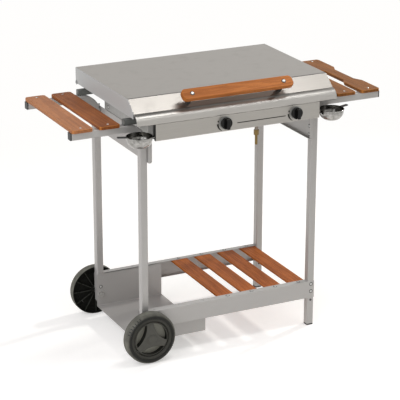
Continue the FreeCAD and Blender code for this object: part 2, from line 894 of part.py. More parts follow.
def inlet_point(z):
    return vector(inlet_x(), manifold_y, z)


def gas_manifold():
    drop = rod(inlet_pipe_radius, inlet_point(manifold_z), inlet_point(inlet_pipe_bottom))
    return merged(manifold_tube(manifold_radius), drop)


def gas_inlet():
    """A brass nut with a plain hose nozzle pointing down."""
    nut = hexagon(inlet_nut_width, inlet_point(inlet_nut_bottom), inlet_point(inlet_pipe_bottom))
    nozzle = rod(nozzle_radius, inlet_point(nozzle_bottom), inlet_point(inlet_nut_bottom + 1))
    tip = [edge for edge in nozzle.Edges if abs(edge.CenterOfMass.z - nozzle_bottom) < 0.01]
    nozzle = nozzle.makeChamfer(nozzle_lead, tip)
    bore_top = inlet_pipe_bottom - inlet_pipe_radius
    bore = rod(nozzle_bore, inlet_point(nozzle_bottom - 1), inlet_point(bore_top))
    return merged(nut, nozzle).cut(bore)


def burner_solid(x, radius, end_wall):
    """The burner's path as a solid: in along one leg, round the back and forward again."""
    pitch = burner_leg_pitch
    inlet_leg = rod(radius, vector(x, burner_front_y, knob_z), vector(x, burner_back_y, knob_z))
    middle = vector(x - pitch / 2, burner_back_y, knob_z)
    circle = Part.Wire(Part.makeCircle(radius, vector(x, burner_back_y, knob_z), vector(0, 1, 0)))
    bend = Part.Face(circle).revolve(middle, vector(0, 0, 1), 180)
    far_x = x - pitch
    far_end = burner_return_y + end_wall
    far_leg = rod(radius, vector(far_x, far_end, knob_z), vector(far_x, burner_back_y, knob_z))
    return merged(inlet_leg, bend, far_leg)


def burner(x):
    outside = burner_solid(x, burner_radius, 0)
    inside = burner_solid(x, burner_radius - burner_wall, burner_wall)
    return outside.cut(inside)


def cup_slot(side):
    """The slot in a panel end flange that takes a bowl's tongue."""
    half = tongue_width / 2 + tongue_fit
    top = cup_rim_z - tongue_drop + tongue_fit
    xs = sorted((side * (panel_half_width - steel - steel_bend), side * (panel_half_width + 1)))
    return block(xs[0], xs[1], cup_y - half, cup_y + half, top - tongue_thickness - 2 * tongue_fit, top)


def cup_right():
    """A spun bowl with a rolled rim and a flat tongue welded to its side."""
    centre = vector(cup_x, cup_y, 0)
    low = cup_rim_z - cup_depth
    radius = cup_radius - cup_bead
    inner = radius - cup_wall
    wall = [(0, low, 0), (radius, low, cup_round), (radius, cup_rim_z, 0), (inner, cup_rim_z, 0),
            (inner, low + cup_wall, cup_round - cup_wall), (0, low + cup_wall, 0)]
    bowl = rounded_face("xz", 0, wall).revolve(vector(0, 0, 0), vector(0, 0, 1), 360)
    bead = Part.makeTorus(radius, cup_bead, vector(0, 0, cup_rim_z - cup_bead), vector(0, 0, 1))
    hollow = Part.makeCylinder(inner, 2 * cup_bead, vector(0, 0, cup_rim_z - 2 * cup_bead))
    bowl = merged(bowl, bead.cut(hollow))
    bowl.translate(centre)
    top = cup_rim_z - tongue_drop
    tongue = block(panel_half_width - tongue_hook, cup_x - inner + cup_wall / 2, cup_y - tongue_width / 2,
                   cup_y + tongue_width / 2, top - tongue_thickness, top)
    return merged(bowl, tongue)


def cup_tab_right():
    """A flat tab on the bowl's outer side, tilted up a little."""
    half = tab_width / 2
    strip = block(-tab_width, tab_length, -half, half, 0, tab_thickness)
    strip = soften(strip, tab_width / 3, lambda p: p.x > tab_length - 0.01 and abs(p.y) > half - 0.01)
    strip = placed(strip, vector(cup_radius - cup_bead, 0, cup_rim_z - tab_drop), vector(0, 1, 0), -tab_tilt)
    bowl = Part.makeCylinder(cup_radius + plug_fit, cup_depth, vector(0, 0, cup_rim_z - cup_depth))
    return placed(strip.cut(bowl), vector(cup_x, cup_y, 0), vector(0, 0, 1), tab_turn)


def lid_shell():
    """A folded cover: roof, front slope and back, with end plates, a front hem and hinge knuckles."""
    slope = math.radians(lid_slope)
    bend = lid_bend + lid_sheet
    outline = [(lid_side_front_y, lid_side_bottom, 0), (lid_side_front_y, lid_lip_z, 0),
               (lid_lip_y, lid_lip_z, 0), (lid_brow_y, lid_top, bend), (lid_rear_y, lid_top, bend),
               (lid_rear_y, hinge_z, 0), (hinge_y, lid_side_bottom, 0)]
    shell = prism("yz", -lid_half_width, lid_half_width, outline)
    shell = soften(shell, lid_edge, lambda p: abs(p.x) > lid_half_width - 0.01 and on_roof_line(p))
    roof = lid_top - lid_sheet
    inner_lip_y = lid_lip_y + lid_sheet / math.sin(slope)
    inner_brow_y = inner_lip_y + (roof - lid_lip_z) / math.tan(slope)
    inner_rear_y = lid_rear_y - lid_sheet
    below = lid_side_bottom - 1
    hollow = [(lid_lip_y - 1, below, 0), (lid_lip_y - 1, lid_lip_z, 0), (inner_lip_y, lid_lip_z, 0),
              (inner_brow_y, roof, lid_bend), (inner_rear_y, roof, lid_bend), (inner_rear_y, hinge_z, 0),
              (lid_rear_y + 1, hinge_z, 0), (lid_rear_y + 1, below, 0)]
    inner_half = lid_half_width - lid_sheet
    shell = shell.cut(prism("yz", -inner_half, inner_half, hollow))
    hem = lid_hem / 2
    hem_y = lid_lip_y + (hem + lid_sheet / 2 + hem * math.cos(slope)) / math.sin(slope)
    hem_z = lid_lip_z + hem
    fittings = [rod(hem, vector(-inner_half, hem_y, hem_z), vector(inner_half, hem_y, hem_z))]
    for side in (-1, 1):
        start = vector(side * (lid_half_width + knuckle_proud), hinge_y, hinge_z)
        fittings.append(rod(knuckle_ring, start, start - vector(side * knuckle_length, 0, 0)))
    shell = merged(shell, *fittings)
    bore_end = lid_half_width + knuckle_proud + 1
    bore = rod(hinge_rod_radius + running_fit, vector(-bore_end, hinge_y, hinge_z),
               vector(bore_end, hinge_y, hinge_z))
    bolts = [handle_bolt(side, handle_bolt_fit) for side in (-1, 1)]
    return shell.cut([bore] + bolts)


def on_roof_line(p):
    """Whether a point of the lid's end outline is above its lip and its hinge."""
    return p.z > lid_lip_z + lid_sheet


def slope_place(rise):
    """The handle's place on the lid's slope, below its middle line and this far off it."""
    slope = math.radians(lid_slope)
    y = (lid_brow_y + lid_lip_y) / 2 - rise * math.sin(slope) - handle_drop * math.cos(slope)
    z = (lid_top + lid_lip_z) / 2 + rise * math.cos(slope) - handle_drop * math.sin(slope)
    return vector(0, y, z)


def on_slope(shape, rise):
    return placed(shape, slope_place(rise), vector(1, 0, 0), lid_slope)


def handle_bolt(side, fit):
    """A bolt square to the slope, from the handle's face to inside the lid."""
    x = side * handle_bolt_x
    depth = handle_thickness + handle_standoff + 2 * lid_sheet + 2
    return on_slope(rod(handle_bolt_radius + fit, vector(x, 0, 0), vector(x, 0, -depth)),
                    handle_standoff + handle_thickness)


def lid_handle():
    """A wood bar with rounded ends, parallel to the slope."""
    half = handle_height / 2
    bar = prism("xy", 0, handle_thickness,
                rectangle(-handle_half_length, handle_half_length, -half, half, handle_round))
    bar = soften(bar, handle_edge, lambda p: p.z < 0.01 or p.z > handle_thickness - 0.01)
    return on_slope(bar, handle_standoff).cut([handle_bolt(side, handle_bolt_fit) for side in (-1, 1)])


def lid_handle_fixings():
    """Spacer sleeves between handle and lid, and the bolts through them."""
    pieces = []
    for side in (-1, 1):
        x = side * handle_bolt_x
        sleeve = on_slope(rod(spacer_radius, vector(x, 0, 0), vector(x, 0, handle_standoff)), 0)
        pieces.append(sleeve.cut(handle_bolt(side, handle_bolt_fit)))
        head = rod(handle_bolt_head, vector(x, 0, 0), vector(x, 0, handle_bolt_head_height))
        head = soften(head, handle_bolt_head_height / 2, lambda p: p.z > handle_bolt_head_height - 0.01)
        pieces.append(merged(handle_bolt(side, 0), on_slope(head, handle_standoff + handle_thickness)))
    return pieces


def hinge_ears():
    """Two plates on the worktop's rear lip, each with a ring round the hinge rod."""
    low = hinge_z - ear_drop
    high = deck_top - steel - steel_bend
    ears = []
    for side in (-1, 1):
        x0 = side * ear_x - ear_width / 2
        x1 = side * ear_x + ear_width / 2
        plate = block(x0, x1, deck_rear_y, deck_rear_y + ear_sheet, low, high)
        web = block(x0, x1, deck_rear_y, hinge_y, hinge_z - ear_web / 2, hinge_z + ear_web / 2)
        ring = rod(ear_ring, vector(x0, hinge_y, hinge_z), vector(x1, hinge_y, hinge_z))
        bore = rod(hinge_rod_radius + running_fit, vector(x0 - 1, hinge_y, hinge_z),
                   vector(x1 + 1, hinge_y, hinge_z))
        ears.append(merged(plate, web, ring).cut(bore))
    return ears


def hinge_rod():
    reach = lid_half_width - hinge_rod_inset
    return rod(hinge_rod_radius, vector(-reach, hinge_y, hinge_z), vector(reach, hinge_y, hinge_z))


def finished_board(outline, side):
    board = prism("xy", arm_top, board_top, outline)
    board = soften(board, board_edge, lambda p: p.z > board_top - 0.01)
    return drilled(board, board_screw_seats(side), (0, 0, -1), board_thickness)


def plain_board(edges, side):
    xs = sorted((side * edges[0], side * edges[1]))
    return finished_board(rectangle(xs[0], xs[1], -board_half_length, board_half_length, board_round), side)


def pull_handle_board():
    """The outer right board, waisted at its middle as a pull handle."""
    inner, outer = outer_board
    wide = waist_flat + waist_run
    long = board_half_length
    outline = [(inner, -long, board_round), (outer, -long, board_round), (outer, -wide, board_round),
               (outer - waist_depth, -waist_flat, board_round),
               (outer - waist_depth, waist_flat, board_round),
               (outer, wide, board_round), (outer, long, board_round), (inner, long, board_round),
               (inner, wide, board_round), (inner + waist_depth, waist_flat, board_round),
               (inner + waist_depth, -waist_flat, board_round), (inner, -wide, board_round)]
    return finished_board(outline, 1)


def board_screws():
    return [screw(seat, (0, 0, -1), board_thickness) for side in (-1, 1) for seat in board_screw_seats(side)]


def slat_screws():
    return [screw(seat, (0, 0, -1), frame_sheet) for seat in slat_screw_seats()]


def frame_screws():
    """Screws of the rails, side plates, bottle tray and firebox."""
    screws = []
    for front in (-1, 1):
        screws += [screw(seat, (0, -front, 0), frame_sheet) for seat in rail_screw_seats(front)]
        screws += [screw(seat, (0, front, 0), frame_sheet) for seat in tray_screw_seats(front)]
    for side in (-1, 1):
        screws += [screw(seat, (side, 0, 0), frame_sheet) for seat in plate_screw_seats(side)]
        screws += [screw(seat, (-side, 0, 0), steel) for seat in firebox_screw_seats(side)]
    return screws


def axle_point(y):
    return vector(wheel_x, y, axle_z)


def axle_hole(front):
    return rod(axle_radius + axle_hole_fit, axle_point(0), axle_point(front * (leg_outer_y + 1)))


def stub_axles():
    """A bolt, a nut inside the tray and a spacer sleeve for each wheel."""
    nut_seat = leg_inner_y - frame_sheet
    pieces = []
    for front in (-1, 1):
        nut = hexagon(nut_width, axle_point(front * (nut_seat - nut_height)), axle_point(front * nut_seat))
        shank = rod(axle_radius, axle_point(front * (nut_seat - nut_height)),
                    axle_point(front * (wheel_outer_y + cap_socket)))
        sleeve_end = axle_point(front * (wheel_inner_y - hub_gap))
        sleeve = rod(sleeve_radius, axle_point(front * leg_outer_y), sleeve_end)
        bore_end = axle_point(front * wheel_inner_y)
        bore = rod(axle_radius + axle_hole_fit, axle_point(front * leg_inner_y), bore_end)
        pieces += [merged(nut, shank), sleeve.cut(bore)]
    return pieces


def axle_caps():
    """Push-on caps over the outer ends of the stub axles."""
    caps = []
    for front in (-1, 1):
        seat = front * (wheel_outer_y + hub_gap)
        cap = rod(cap_radius, axle_point(seat), axle_point(seat + front * cap_height))
        cap = soften(cap, cap_height / 2, lambda p: abs(p.y) > abs(seat) + cap_height - 0.01)
        socket_end = axle_point(front * (wheel_outer_y + cap_socket))
        socket = rod(axle_radius + axle_hole_fit, axle_point(seat - front), socket_end)
        caps.append(cap.cut(socket))
    return caps


def pocket_lens(front_y, depth, grow):
    """The three lens-shaped pockets between the spokes, from a face plane inwards."""
    lenses = []
    inward = vector(0, depth, 0)
    for angle in spoke_angles:
        middle = math.radians(angle + 60)
        offset = vector(math.cos(middle), 0, math.sin(middle)) * pocket_centre
        start = axle_point(front_y)
        inside = rod(tyre_inner - hub_gap - pocket_rim + grow, start, start + inward)
        lens = rod(pocket_circle + grow, start + offset, start + offset + inward)
        lenses.append(inside.common(lens))
    return lenses


def wheel_ribs(inner_radius, outer_radius, front_y, back_y):
    """Ribs like spokes between two radii, from a front plane to a back one."""
    ribs = []
    for i in range(rib_count):
        rib = block(inner_radius, outer_radius, -rib_thickness / 2, rib_thickness / 2, 0, back_y - front_y)
        turn = FreeCAD.Rotation(vector(0, 1, 0), 360 * i / rib_count)
        lying = FreeCAD.Rotation(vector(1, 0, 0), -90)
        rib.Placement = FreeCAD.Placement(axle_point(front_y), turn * lying)
        ribs.append(rib)
    return ribs


def wheel_hub():
    """The front wheel's moulding: rim, faced spokes with pockets, boss and ribs behind."""
    face = -wheel_outer_y + hub_inset
    back = -wheel_inner_y - hub_inset
    radius = tyre_inner - hub_gap
    rim = rod(radius, axle_point(face), axle_point(back))
    rim = soften(rim, tyre_groove, lambda p: p.y < face + 0.01)
    rim = rim.cut(rod(radius - hub_rim, axle_point(face + hub_plate), axle_point(back + 1)))
    boss = rod(hub_boss, axle_point(-wheel_outer_y), axle_point(-wheel_inner_y))
    cups = pocket_lens(face, pocket_depth + pocket_wall, pocket_wall)
    ribs = wheel_ribs(0, radius - hub_rim / 2, face + hub_plate / 2, back - hub_plate / 2)
    bore = rod(axle_radius + running_fit, axle_point(-wheel_outer_y - 1), axle_point(-wheel_inner_y + 1))
    hub = merged(rim, boss, *cups, *ribs)
    return hub.cut(pocket_lens(face - 1, pocket_depth + 1, 0) + [bore])


def wheel_tyre():
    """The front wheel's tread ring: rounded shoulders, and a channel behind with ribs across it."""
    outer = -wheel_outer_y
    inner = -wheel_inner_y
    section = [(outer, tyre_inner + tyre_groove, 0), (outer, wheel_radius, tyre_round),
               (inner, wheel_radius, tyre_round), (inner, tyre_inner + tyre_groove, 0),
               (inner - tyre_groove, tyre_inner, 0), (outer + tyre_groove, tyre_inner, 0)]
    foot = tyre_inner + tread_foot
    crown = wheel_radius - tread_wall
    channel = [(outer + tread_wall, foot, 0), (outer + tread_wall, crown, 0), (inner + 1, crown, 0),
               (inner + 1, foot, 0)]
    rings = [rounded_face("yz", 0, outline).revolve(vector(0, 0, 0), vector(0, 1, 0), 360)
             for outline in (section, channel)]
    for ring in rings:
        ring.translate(axle_point(0))
    ribs = wheel_ribs(foot - tread_foot / 2, crown + tread_foot / 2, outer + tread_wall - 1,
                      inner - tread_rib_setback)
    return merged(rings[0].cut(rings[1]), *ribs)


def all_pieces():
    """Every node by name, as a shape or a list of like shapes."""
    rail = shelf_rail_front()
    plate = side_plate_right()
    bar = crossbar_front()
    hub = wheel_hub()
    tyre = wheel_tyre()
    bowl = cup_right()
    tab = cup_tab_right()
    pieces = {
        "leg_front_left": leg(-1, -1),
        "leg_rear_left": leg(-1, 1),
        "leg_front_right": leg(1, -1),
        "leg_rear_right": leg(1, 1),
        "arm_end_plugs": arm_end_plugs(),
        "crossbar_end_plugs": crossbar_end_plugs(),
        "leg_end_plugs": leg_end_plugs(),
        "shelf_rail_front": rail,
        "shelf_rail_rear": front_back(rail),
        "bottle_tray": bottle_tray(),
        "side_plate_left": left_right(plate),
        "side_plate_right": plate,
        "crossbar_front": bar,
        "crossbar_rear": front_back(bar),
        "worktop_supports": worktop_supports(),
        "frame_screws": frame_screws(),
        "slat_screws": slat_screws(),
        "board_left_outer": plain_board(outer_board, -1),
        "board_left_inner": plain_board(inner_board, -1),
        "board_right_inner": plain_board(inner_board, 1),
        "pull_handle_board": pull_handle_board(),
        "board_screws": board_screws(),
        "stub_axles": stub_axles(),
        "axle_caps": axle_caps(),
        "wheel_front_hub": hub,
        "wheel_front_tyre": tyre,
        "wheel_rear_hub": front_back(hub),
        "wheel_rear_tyre": front_back(tyre),
        "worktop": worktop(),
        "firebox": firebox(),
        "lava_grate": rack(grate_ledge, grate_bar, grate_wire, grate_pitch),
        "lava_stones": lava_stones(),
        "cooking_grid": rack(grid_ledge, grid_bar, grid_wire, grid_pitch),
        "control_panel": control_panel(),
        "knob_bezels": knob_bezels(),
        "gas_manifold": gas_manifold(),
        "gas_inlet": gas_inlet(),
        "cup_left": left_right(bowl),
        "cup_right": bowl,
        "cup_tab_left": left_right(tab),
        "cup_tab_right": tab,
        "hinge_ears": hinge_ears(),
        "hinge_rod": hinge_rod(),
        "lid_shell": lid_shell(),
        "lid_handle": lid_handle(),
        "lid_handle_fixings": lid_handle_fixings(),
    }
    for number, x in enumerate(slat_xs(), 1):
        pieces[f"shelf_slat_{number}"] = shelf_slat(x)
    for name, x in zip(("left", "right"), knob_xs):
        pieces[f"burner_{name}"] = burner(x)
        pieces[f"tap_body_{name}"] = tap_body(x)
        pieces[f"tap_plug_{name}"] = tap_plug(x)
        pieces[f"tap_stem_{name}"] = tap_stem(x)
        pieces[f"knob_{name}"] = knob(x)
    return pieces


def footprint_shift():
    """The move that puts the origin on the floor under the middle of the whole object."""
    front = min(cup_y - cup_radius, knob_rear_y - knob_disc - knob_grip_reach)
    rear = wheel_outer_y + hub_gap + cap_height
    return vector(0, -(front + rear) / 2, 0)


os.makedirs("parts", exist_ok=True)
for node, shape in all_pieces().items():
    whole = Part.makeCompound(shape) if isinstance(shape, list) else shape
    whole.translate(footprint_shift())
    whole.exportStep(f"parts/{node}.step")
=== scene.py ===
import math

import bmesh
import bpy
from mathutils import Matrix, Vector


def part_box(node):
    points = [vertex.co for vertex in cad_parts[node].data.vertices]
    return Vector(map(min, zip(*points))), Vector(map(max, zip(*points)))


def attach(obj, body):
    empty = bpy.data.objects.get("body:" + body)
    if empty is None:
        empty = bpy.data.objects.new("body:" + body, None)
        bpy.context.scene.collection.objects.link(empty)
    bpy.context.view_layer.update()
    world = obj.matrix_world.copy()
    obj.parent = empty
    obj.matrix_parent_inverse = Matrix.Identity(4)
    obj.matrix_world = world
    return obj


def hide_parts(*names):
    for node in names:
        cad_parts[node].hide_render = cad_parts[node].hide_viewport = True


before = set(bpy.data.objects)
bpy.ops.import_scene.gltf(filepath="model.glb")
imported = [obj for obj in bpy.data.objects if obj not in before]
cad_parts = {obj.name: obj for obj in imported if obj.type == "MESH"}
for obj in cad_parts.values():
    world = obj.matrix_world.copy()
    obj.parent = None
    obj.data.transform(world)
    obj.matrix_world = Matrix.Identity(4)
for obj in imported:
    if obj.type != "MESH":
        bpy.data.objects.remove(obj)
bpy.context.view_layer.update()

# The studio: a pale floor that runs on into a white backdrop under a dark ceiling, a strip light overhead, a
# cool softbox at the left, a small key lamp on the right, and a narrow card that only shows in the steel.
# The camera stands at the photograph's angle.
class Wire:
    """A socket of a node tree. Sums written with it add Math nodes, and node() adds any other node."""

    def __init__(self, tree, socket=None):
        self.tree = tree
        self.socket = socket

    def node(self, kind, settings={}, inputs={}, out=0):
        made = self.tree.nodes.new(kind)
        for name, value in settings.items():
            setattr(made, name, value)
        for name, value in inputs.items():
            for item in value if isinstance(value, list) else [value]:
                if isinstance(item, Wire):
                    self.tree.links.new(item.socket, made.inputs[name])
                else:
                    made.inputs[name].default_value = item
        return Wire(self.tree, made.outputs[out] if made.outputs else None)

    def sum(self, operation, first, second=0.0):
        return self.node("ShaderNodeMath", {"operation": operation}, {0: first, 1: second})

    def __add__(self, other):
        return self.sum("ADD", self, other)

    def __radd__(self, other):
        return self.sum("ADD", other, self)

    def __sub__(self, other):
        return self.sum("SUBTRACT", self, other)

    def __rsub__(self, other):
        return self.sum("SUBTRACT", other, self)

    def __mul__(self, other):
        return self.sum("MULTIPLY", self, other)

    def __rmul__(self, other):
        return self.sum("MULTIPLY", other, self)

    def __truediv__(self, other):
        return self.sum("DIVIDE", self, other)

    def __abs__(self):
        return self.sum("ABSOLUTE", self)

    def larger(self, other):
        return self.sum("MAXIMUM", self, other)

    def hypot(self, other):
        """The length of two sides at a right angle."""
        return self.sum("SQRT", self * self + other * other)

    def step(self, low, high):
        """From 0 at low to 1 at high, eased at both ends."""
        return self.node("ShaderNodeMapRange", {"interpolation_type": "SMOOTHSTEP"},
                         {"Value": self, "From Min": low, "From Max": high})

    def axes(self):
        """The x, y and z of a vector."""
        split = self.node("ShaderNodeSeparateXYZ", {}, {0: self}).socket.node
        return [Wire(self.tree, output) for output in split.outputs]


def seen_rays(wire):
    """1 for what the camera sees straight, in a reflection or through glass, and 0 for other light."""
    kinds = ("Camera", "Glossy", "Transmission")
    rays = [wire.node("ShaderNodeLightPath", out=f"Is {kind} Ray") for kind in kinds]
    return rays[0].sum("MINIMUM", rays[0] + rays[1] + rays[2], 1.0)


paper_white = (1.0, 0.992, 0.98, 1)
fill_level = 0.46
ceiling_level = 0.16
ceiling_edge = (0.50, 0.64)
world = bpy.data.worlds.new("studio_air")
bpy.context.scene.world = world
world.use_nodes = True
world.node_tree.nodes.clear()
air = Wire(world.node_tree)
height = air.node("ShaderNodeTexCoord", out="Generated").axes()[2]
mirrored = air.node("ShaderNodeLightPath", out="Is Glossy Ray")
ceiling_loss = (1 - ceiling_level) * mirrored * height.step(*ceiling_edge)
level = fill_level + (1 - fill_level) * seen_rays(air) - ceiling_loss
backdrop = air.node("ShaderNodeBackground", {}, {"Color": paper_white, "Strength": level})
air.node("ShaderNodeOutputWorld", {}, {"Surface": backdrop})

floor_radius = 14.0
floor_sides = 96
floor_grey = (0.80, 0.787, 0.768, 1)
floor_glow = 0.40
shadow_reach = (1.1, 2.6)
floor_mesh = bpy.data.meshes.new("studio_floor")
shape = bmesh.new()
bmesh.ops.create_circle(shape, cap_ends=True, segments=floor_sides, radius=floor_radius)
shape.to_mesh(floor_mesh)
shape.free()
floor = bpy.data.objects.new("studio_floor", floor_mesh)
bpy.context.scene.collection.objects.link(floor)
floor_paper = bpy.data.materials.new("studio_paper")
floor_paper.use_nodes = True
floor_paper.node_tree.nodes.clear()
ground = Wire(floor_paper.node_tree).node("ShaderNodeTexCoord", out="Object")
seen = seen_rays(ground)
away = ground.node("ShaderNodeVectorMath", {"operation": "LENGTH"}, {0: ground}, "Value").step(*shadow_reach)
lit = ground.node("ShaderNodeBsdfDiffuse", {}, {"Color": floor_grey})
glow = ground.node("ShaderNodeEmission", {}, {"Color": paper_white, "Strength": seen * floor_glow})
near = ground.node("ShaderNodeAddShader", {}, {0: lit, 1: glow})
far = ground.node("ShaderNodeEmission", {}, {"Color": paper_white, "Strength": 1.0})
paper = ground.node("ShaderNodeMixShader", {}, {0: seen * away, 1: near, 2: far})
ground.node("ShaderNodeOutputMaterial", {}, {"Surface": paper})
floor_mesh.materials.append(floor_paper)

bpy.context.scene.view_settings.view_transform = "Standard"
camera_target = Vector((-0.01166, 0.02182, 0.45435))
camera_distance = 5.9453
camera_turn = math.radians(-26.238)
camera_rise = math.radians(19.634)
camera_roll = math.radians(0.085)
sensor_width = 36.0
focal_length = 153.34
back = Vector((math.sin(camera_turn) * math.cos(camera_rise), -math.cos(camera_turn) * math.cos(camera_rise),
               math.sin(camera_rise)))
level_right = Vector((math.cos(camera_turn), math.sin(camera_turn), 0))
level_up = back.cross(level_right)
right = level_right * math.cos(camera_roll) + level_up * math.sin(camera_roll)
up = level_up * math.cos(camera_roll) - level_right * math.sin(camera_roll)
lens = bpy.data.cameras.new("photo_camera")
lens.sensor_width = sensor_width
lens.lens = focal_length
camera = bpy.data.objects.new("photo_camera", lens)
bpy.context.scene.collection.objects.link(camera)
stance = Matrix((right, up, back)).transposed().to_4x4()
camera.matrix_world = Matrix.Translation(camera_target + back * camera_distance) @ stance
bpy.context.scene.camera = camera


def softbox(name, place, aim, width, depth, radiance, tint):
    """An area lamp of an even brightness, which the camera doesn't see straight."""
    lamp = bpy.data.lights.new(name, "AREA")
    lamp.shape = "RECTANGLE"
    lamp.size = width
    lamp.size_y = depth
    lamp.energy = radiance * math.pi * width * depth
    lamp.color = tint
    holder = bpy.data.objects.new(name, lamp)
    bpy.context.scene.collection.objects.link(holder)
    holder.location = place
    holder.rotation_euler = (Vector(aim) - Vector(place)).to_track_quat("-Z", "Y").to_euler()
    holder.visible_camera = False
    return holder


softbox("overhead_strip", place=(0.55, -0.70, 2.83), aim=(0.55, -0.28, 0.88), width=1.7, depth=0.42,
        radiance=7.3, tint=(1, 1, 1))
softbox("left_softbox", place=(-2.9, -0.9, 2.3), aim=(0.0, 0.0, 0.45), width=3.0, depth=3.0,
        radiance=2.05, tint=(0.93, 0.94, 1.0))
nose_card = softbox("nose_card", place=(0.75, -1.55, 2.35), aim=(0.0, -0.25, 0.86), width=1.7, depth=0.17,
                    radiance=5.6, tint=(1, 1, 1))
nose_card.visible_diffuse = False
softbox("key_lamp", place=(3.46, 0.97, 3.33), aim=(0.0, 0.0, 0.3), width=0.34, depth=0.34,
        radiance=205.0, tint=(1, 0.98, 0.95))

# The trolley frame: bent square tubes, folded rails, tray and side plates of mild steel under one coat of
# silver-grey metallic lacquer. The crossbars under the worktop are coloured dark grey.
def begin(name):
    """A new material, and a wire that carries the piece's own coordinates in metres."""
    material = bpy.data.materials.new(name)
    material.use_nodes = True
    material.node_tree.nodes.clear()
    return material, Wire(material.node_tree).node("ShaderNodeTexCoord", out="Object")


def complete(spot, inputs):
    """Ends a material in one Principled shader."""
    shader = spot.node("ShaderNodeBsdfPrincipled", {}, inputs)
    spot.node("ShaderNodeOutputMaterial", {}, {"Surface": shader})


def noise(spot, scale, detail=2.0, stretch=(1, 1, 1), roughness=0.5):
    """Cloudy values about one half, drawn out along the axes of a small stretch."""
    drawn = spot.node("ShaderNodeMapping", {}, {"Vector": spot, "Scale": stretch})
    return spot.node("ShaderNodeTexNoise", {},
                     {"Vector": drawn, "Scale": scale, "Detail": detail, "Roughness": roughness})


def mixed(factor, first, second):
    """The first colour at a factor of 0 and the second at 1."""
    return factor.node("ShaderNodeMix", {"data_type": "RGBA"}, {0: factor, 6: first, 7: second}, 2)


def bump(height, depth):
    """A normal from heights of 0 to 1 that stand for this depth in metres."""
    return height.node("ShaderNodeBump", {}, {"Height": height, "Distance": depth, "Strength": 1.0})


def wear(material, *names):
    """Puts a material on the CAD nodes whose names start so."""
    for name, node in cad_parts.items():
        if name.startswith(names):
            node.data.materials.clear()
            node.data.materials.append(material)


peel_depth = 0.00008
tube_half = 0.0125
hole_drop = 0.0084
hole_ring = 0.0043
hole_blur = 0.0006
hole_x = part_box("leg_front_right")[0].x + tube_half
hole_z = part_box("shelf_rail_front")[0].z - hole_drop
lacquer, spot = begin("silver_lacquer")
flakes = noise(spot, 2600, 1.0)
cloud = noise(spot, 9, 3.0)
peel = noise(spot, 420, 2.0)
tone = (flakes - 0.5) * 0.5 + (cloud - 0.5) * 0.25 + 0.5
x, _, z = spot.axes()
# The black ring round the spare hole in the front right leg is painted shade: it stands for the dark inside
# the tube and is wider than the hole.
hole_painted_shade = 1 - (x - hole_x).hypot(z - hole_z).step(hole_ring - hole_blur, hole_ring)
paint = mixed(tone, (0.393, 0.379, 0.362, 1), (0.527, 0.513, 0.496, 1))
complete(spot, {"Base Color": mixed(hole_painted_shade, paint, (0.003, 0.003, 0.003, 1)),
                "Metallic": 0.3, "Roughness": 0.36 + 0.14 * cloud, "Normal": bump(peel, peel_depth)})
wear(lacquer, "leg_front", "leg_rear", "shelf_rail", "bottle_tray", "side_plate")
dark_crossbar_colour, spot = begin("dark_crossbar_colour")
cloud = noise(spot, 14, 3.0)
peel = noise(spot, 420, 2.0)
complete(spot, {"Base Color": mixed(cloud, (0.085, 0.089, 0.082, 1), (0.150, 0.156, 0.144, 1)),
                "Roughness": 0.30 + 0.16 * cloud, "Normal": bump(peel, peel_depth)})
wear(dark_crossbar_colour, "crossbar_front", "crossbar_rear")

# Tube plugs: polythene mouldings pushed into the open ends of the tubes, black in the arms and legs and grey
# in the crossbars. The flat heads keep the fine grain of the mould and go pale where they rub.
def polythene(name, dark, pale, scuff_start, gloss):
    """Moulded plastic with scuffs, which start at this level of the noise."""
    material, spot = begin(name)
    mould = noise(spot, 1500, 3.0)
    scuff = noise(spot, 60, 4.0).step(scuff_start, 0.75)
    complete(spot, {"Base Color": mixed(scuff, dark, pale), "Roughness": gloss + 0.2 * scuff,
                    "Normal": bump(mould, 0.00006)})
    return material


plug_black = polythene("plug_polythene", (0.014, 0.014, 0.014, 1), (0.04, 0.039, 0.037, 1), 0.55, 0.42)
wear(plug_black, "arm_end_plugs", "leg_end_plugs")
plug_grey = polythene("grey_polythene", (0.095, 0.099, 0.092, 1), (0.165, 0.170, 0.158, 1), 0.45, 0.36)
wear(plug_grey, "crossbar_end_plugs")

# Screws of the rails, plates, tray, slats and boards: zinc-plated pan heads with a cross recess, each
# turned to its own stop when it was driven, on dark discs, painted shade for the ring round each head.
seat_lift = 0.0022
rim_share = 0.9
zinc, spot = begin("bright_zinc")
plating = noise(spot, 700, 3.0)
complete(spot, {"Base Color": mixed(plating, (0.50, 0.50, 0.49, 1), (0.72, 0.72, 0.70, 1)), "Metallic": 1.0,
                "Roughness": 0.2 + 0.22 * plating})
# The dark disc under each screw head is painted shade: it stands for the shadow ring round the head.
screw_shade_disc, spot = begin("painted_shade_disc")
disc_mottle = noise(spot, 600, 3.0)
complete(spot, {"Base Color": mixed(disc_mottle, (0.016, 0.016, 0.015, 1), (0.045, 0.045, 0.043, 1)),
                "Metallic": 0.2, "Roughness": 0.4 + 0.2 * disc_mottle})


def loose_parts(node):
    """The points of each separate solid of a CAD node."""
    copy = bmesh.new()
    copy.from_mesh(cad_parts[node].data)
    bmesh.ops.remove_doubles(copy, verts=copy.verts, dist=1e-6)
    parts = []
    met = set()
    for first in copy.verts:
        if first in met:
            continue
        met.add(first)
        waiting = [first]
        part = []
        while waiting:
            point = waiting.pop()
            part.append(point.co.copy())
            for edge in point.link_edges:
                other = edge.other_vert(point)
                if other not in met:
                    met.add(other)
                    waiting.append(other)
        parts.append(part)
    copy.free()
    return parts


def box_of(points):
    """The two far corners of some points."""
    low = Vector([min(p[i] for p in points) for i in range(3)])
    high = Vector([max(p[i] for p in points) for i in range(3)])
    return low, high


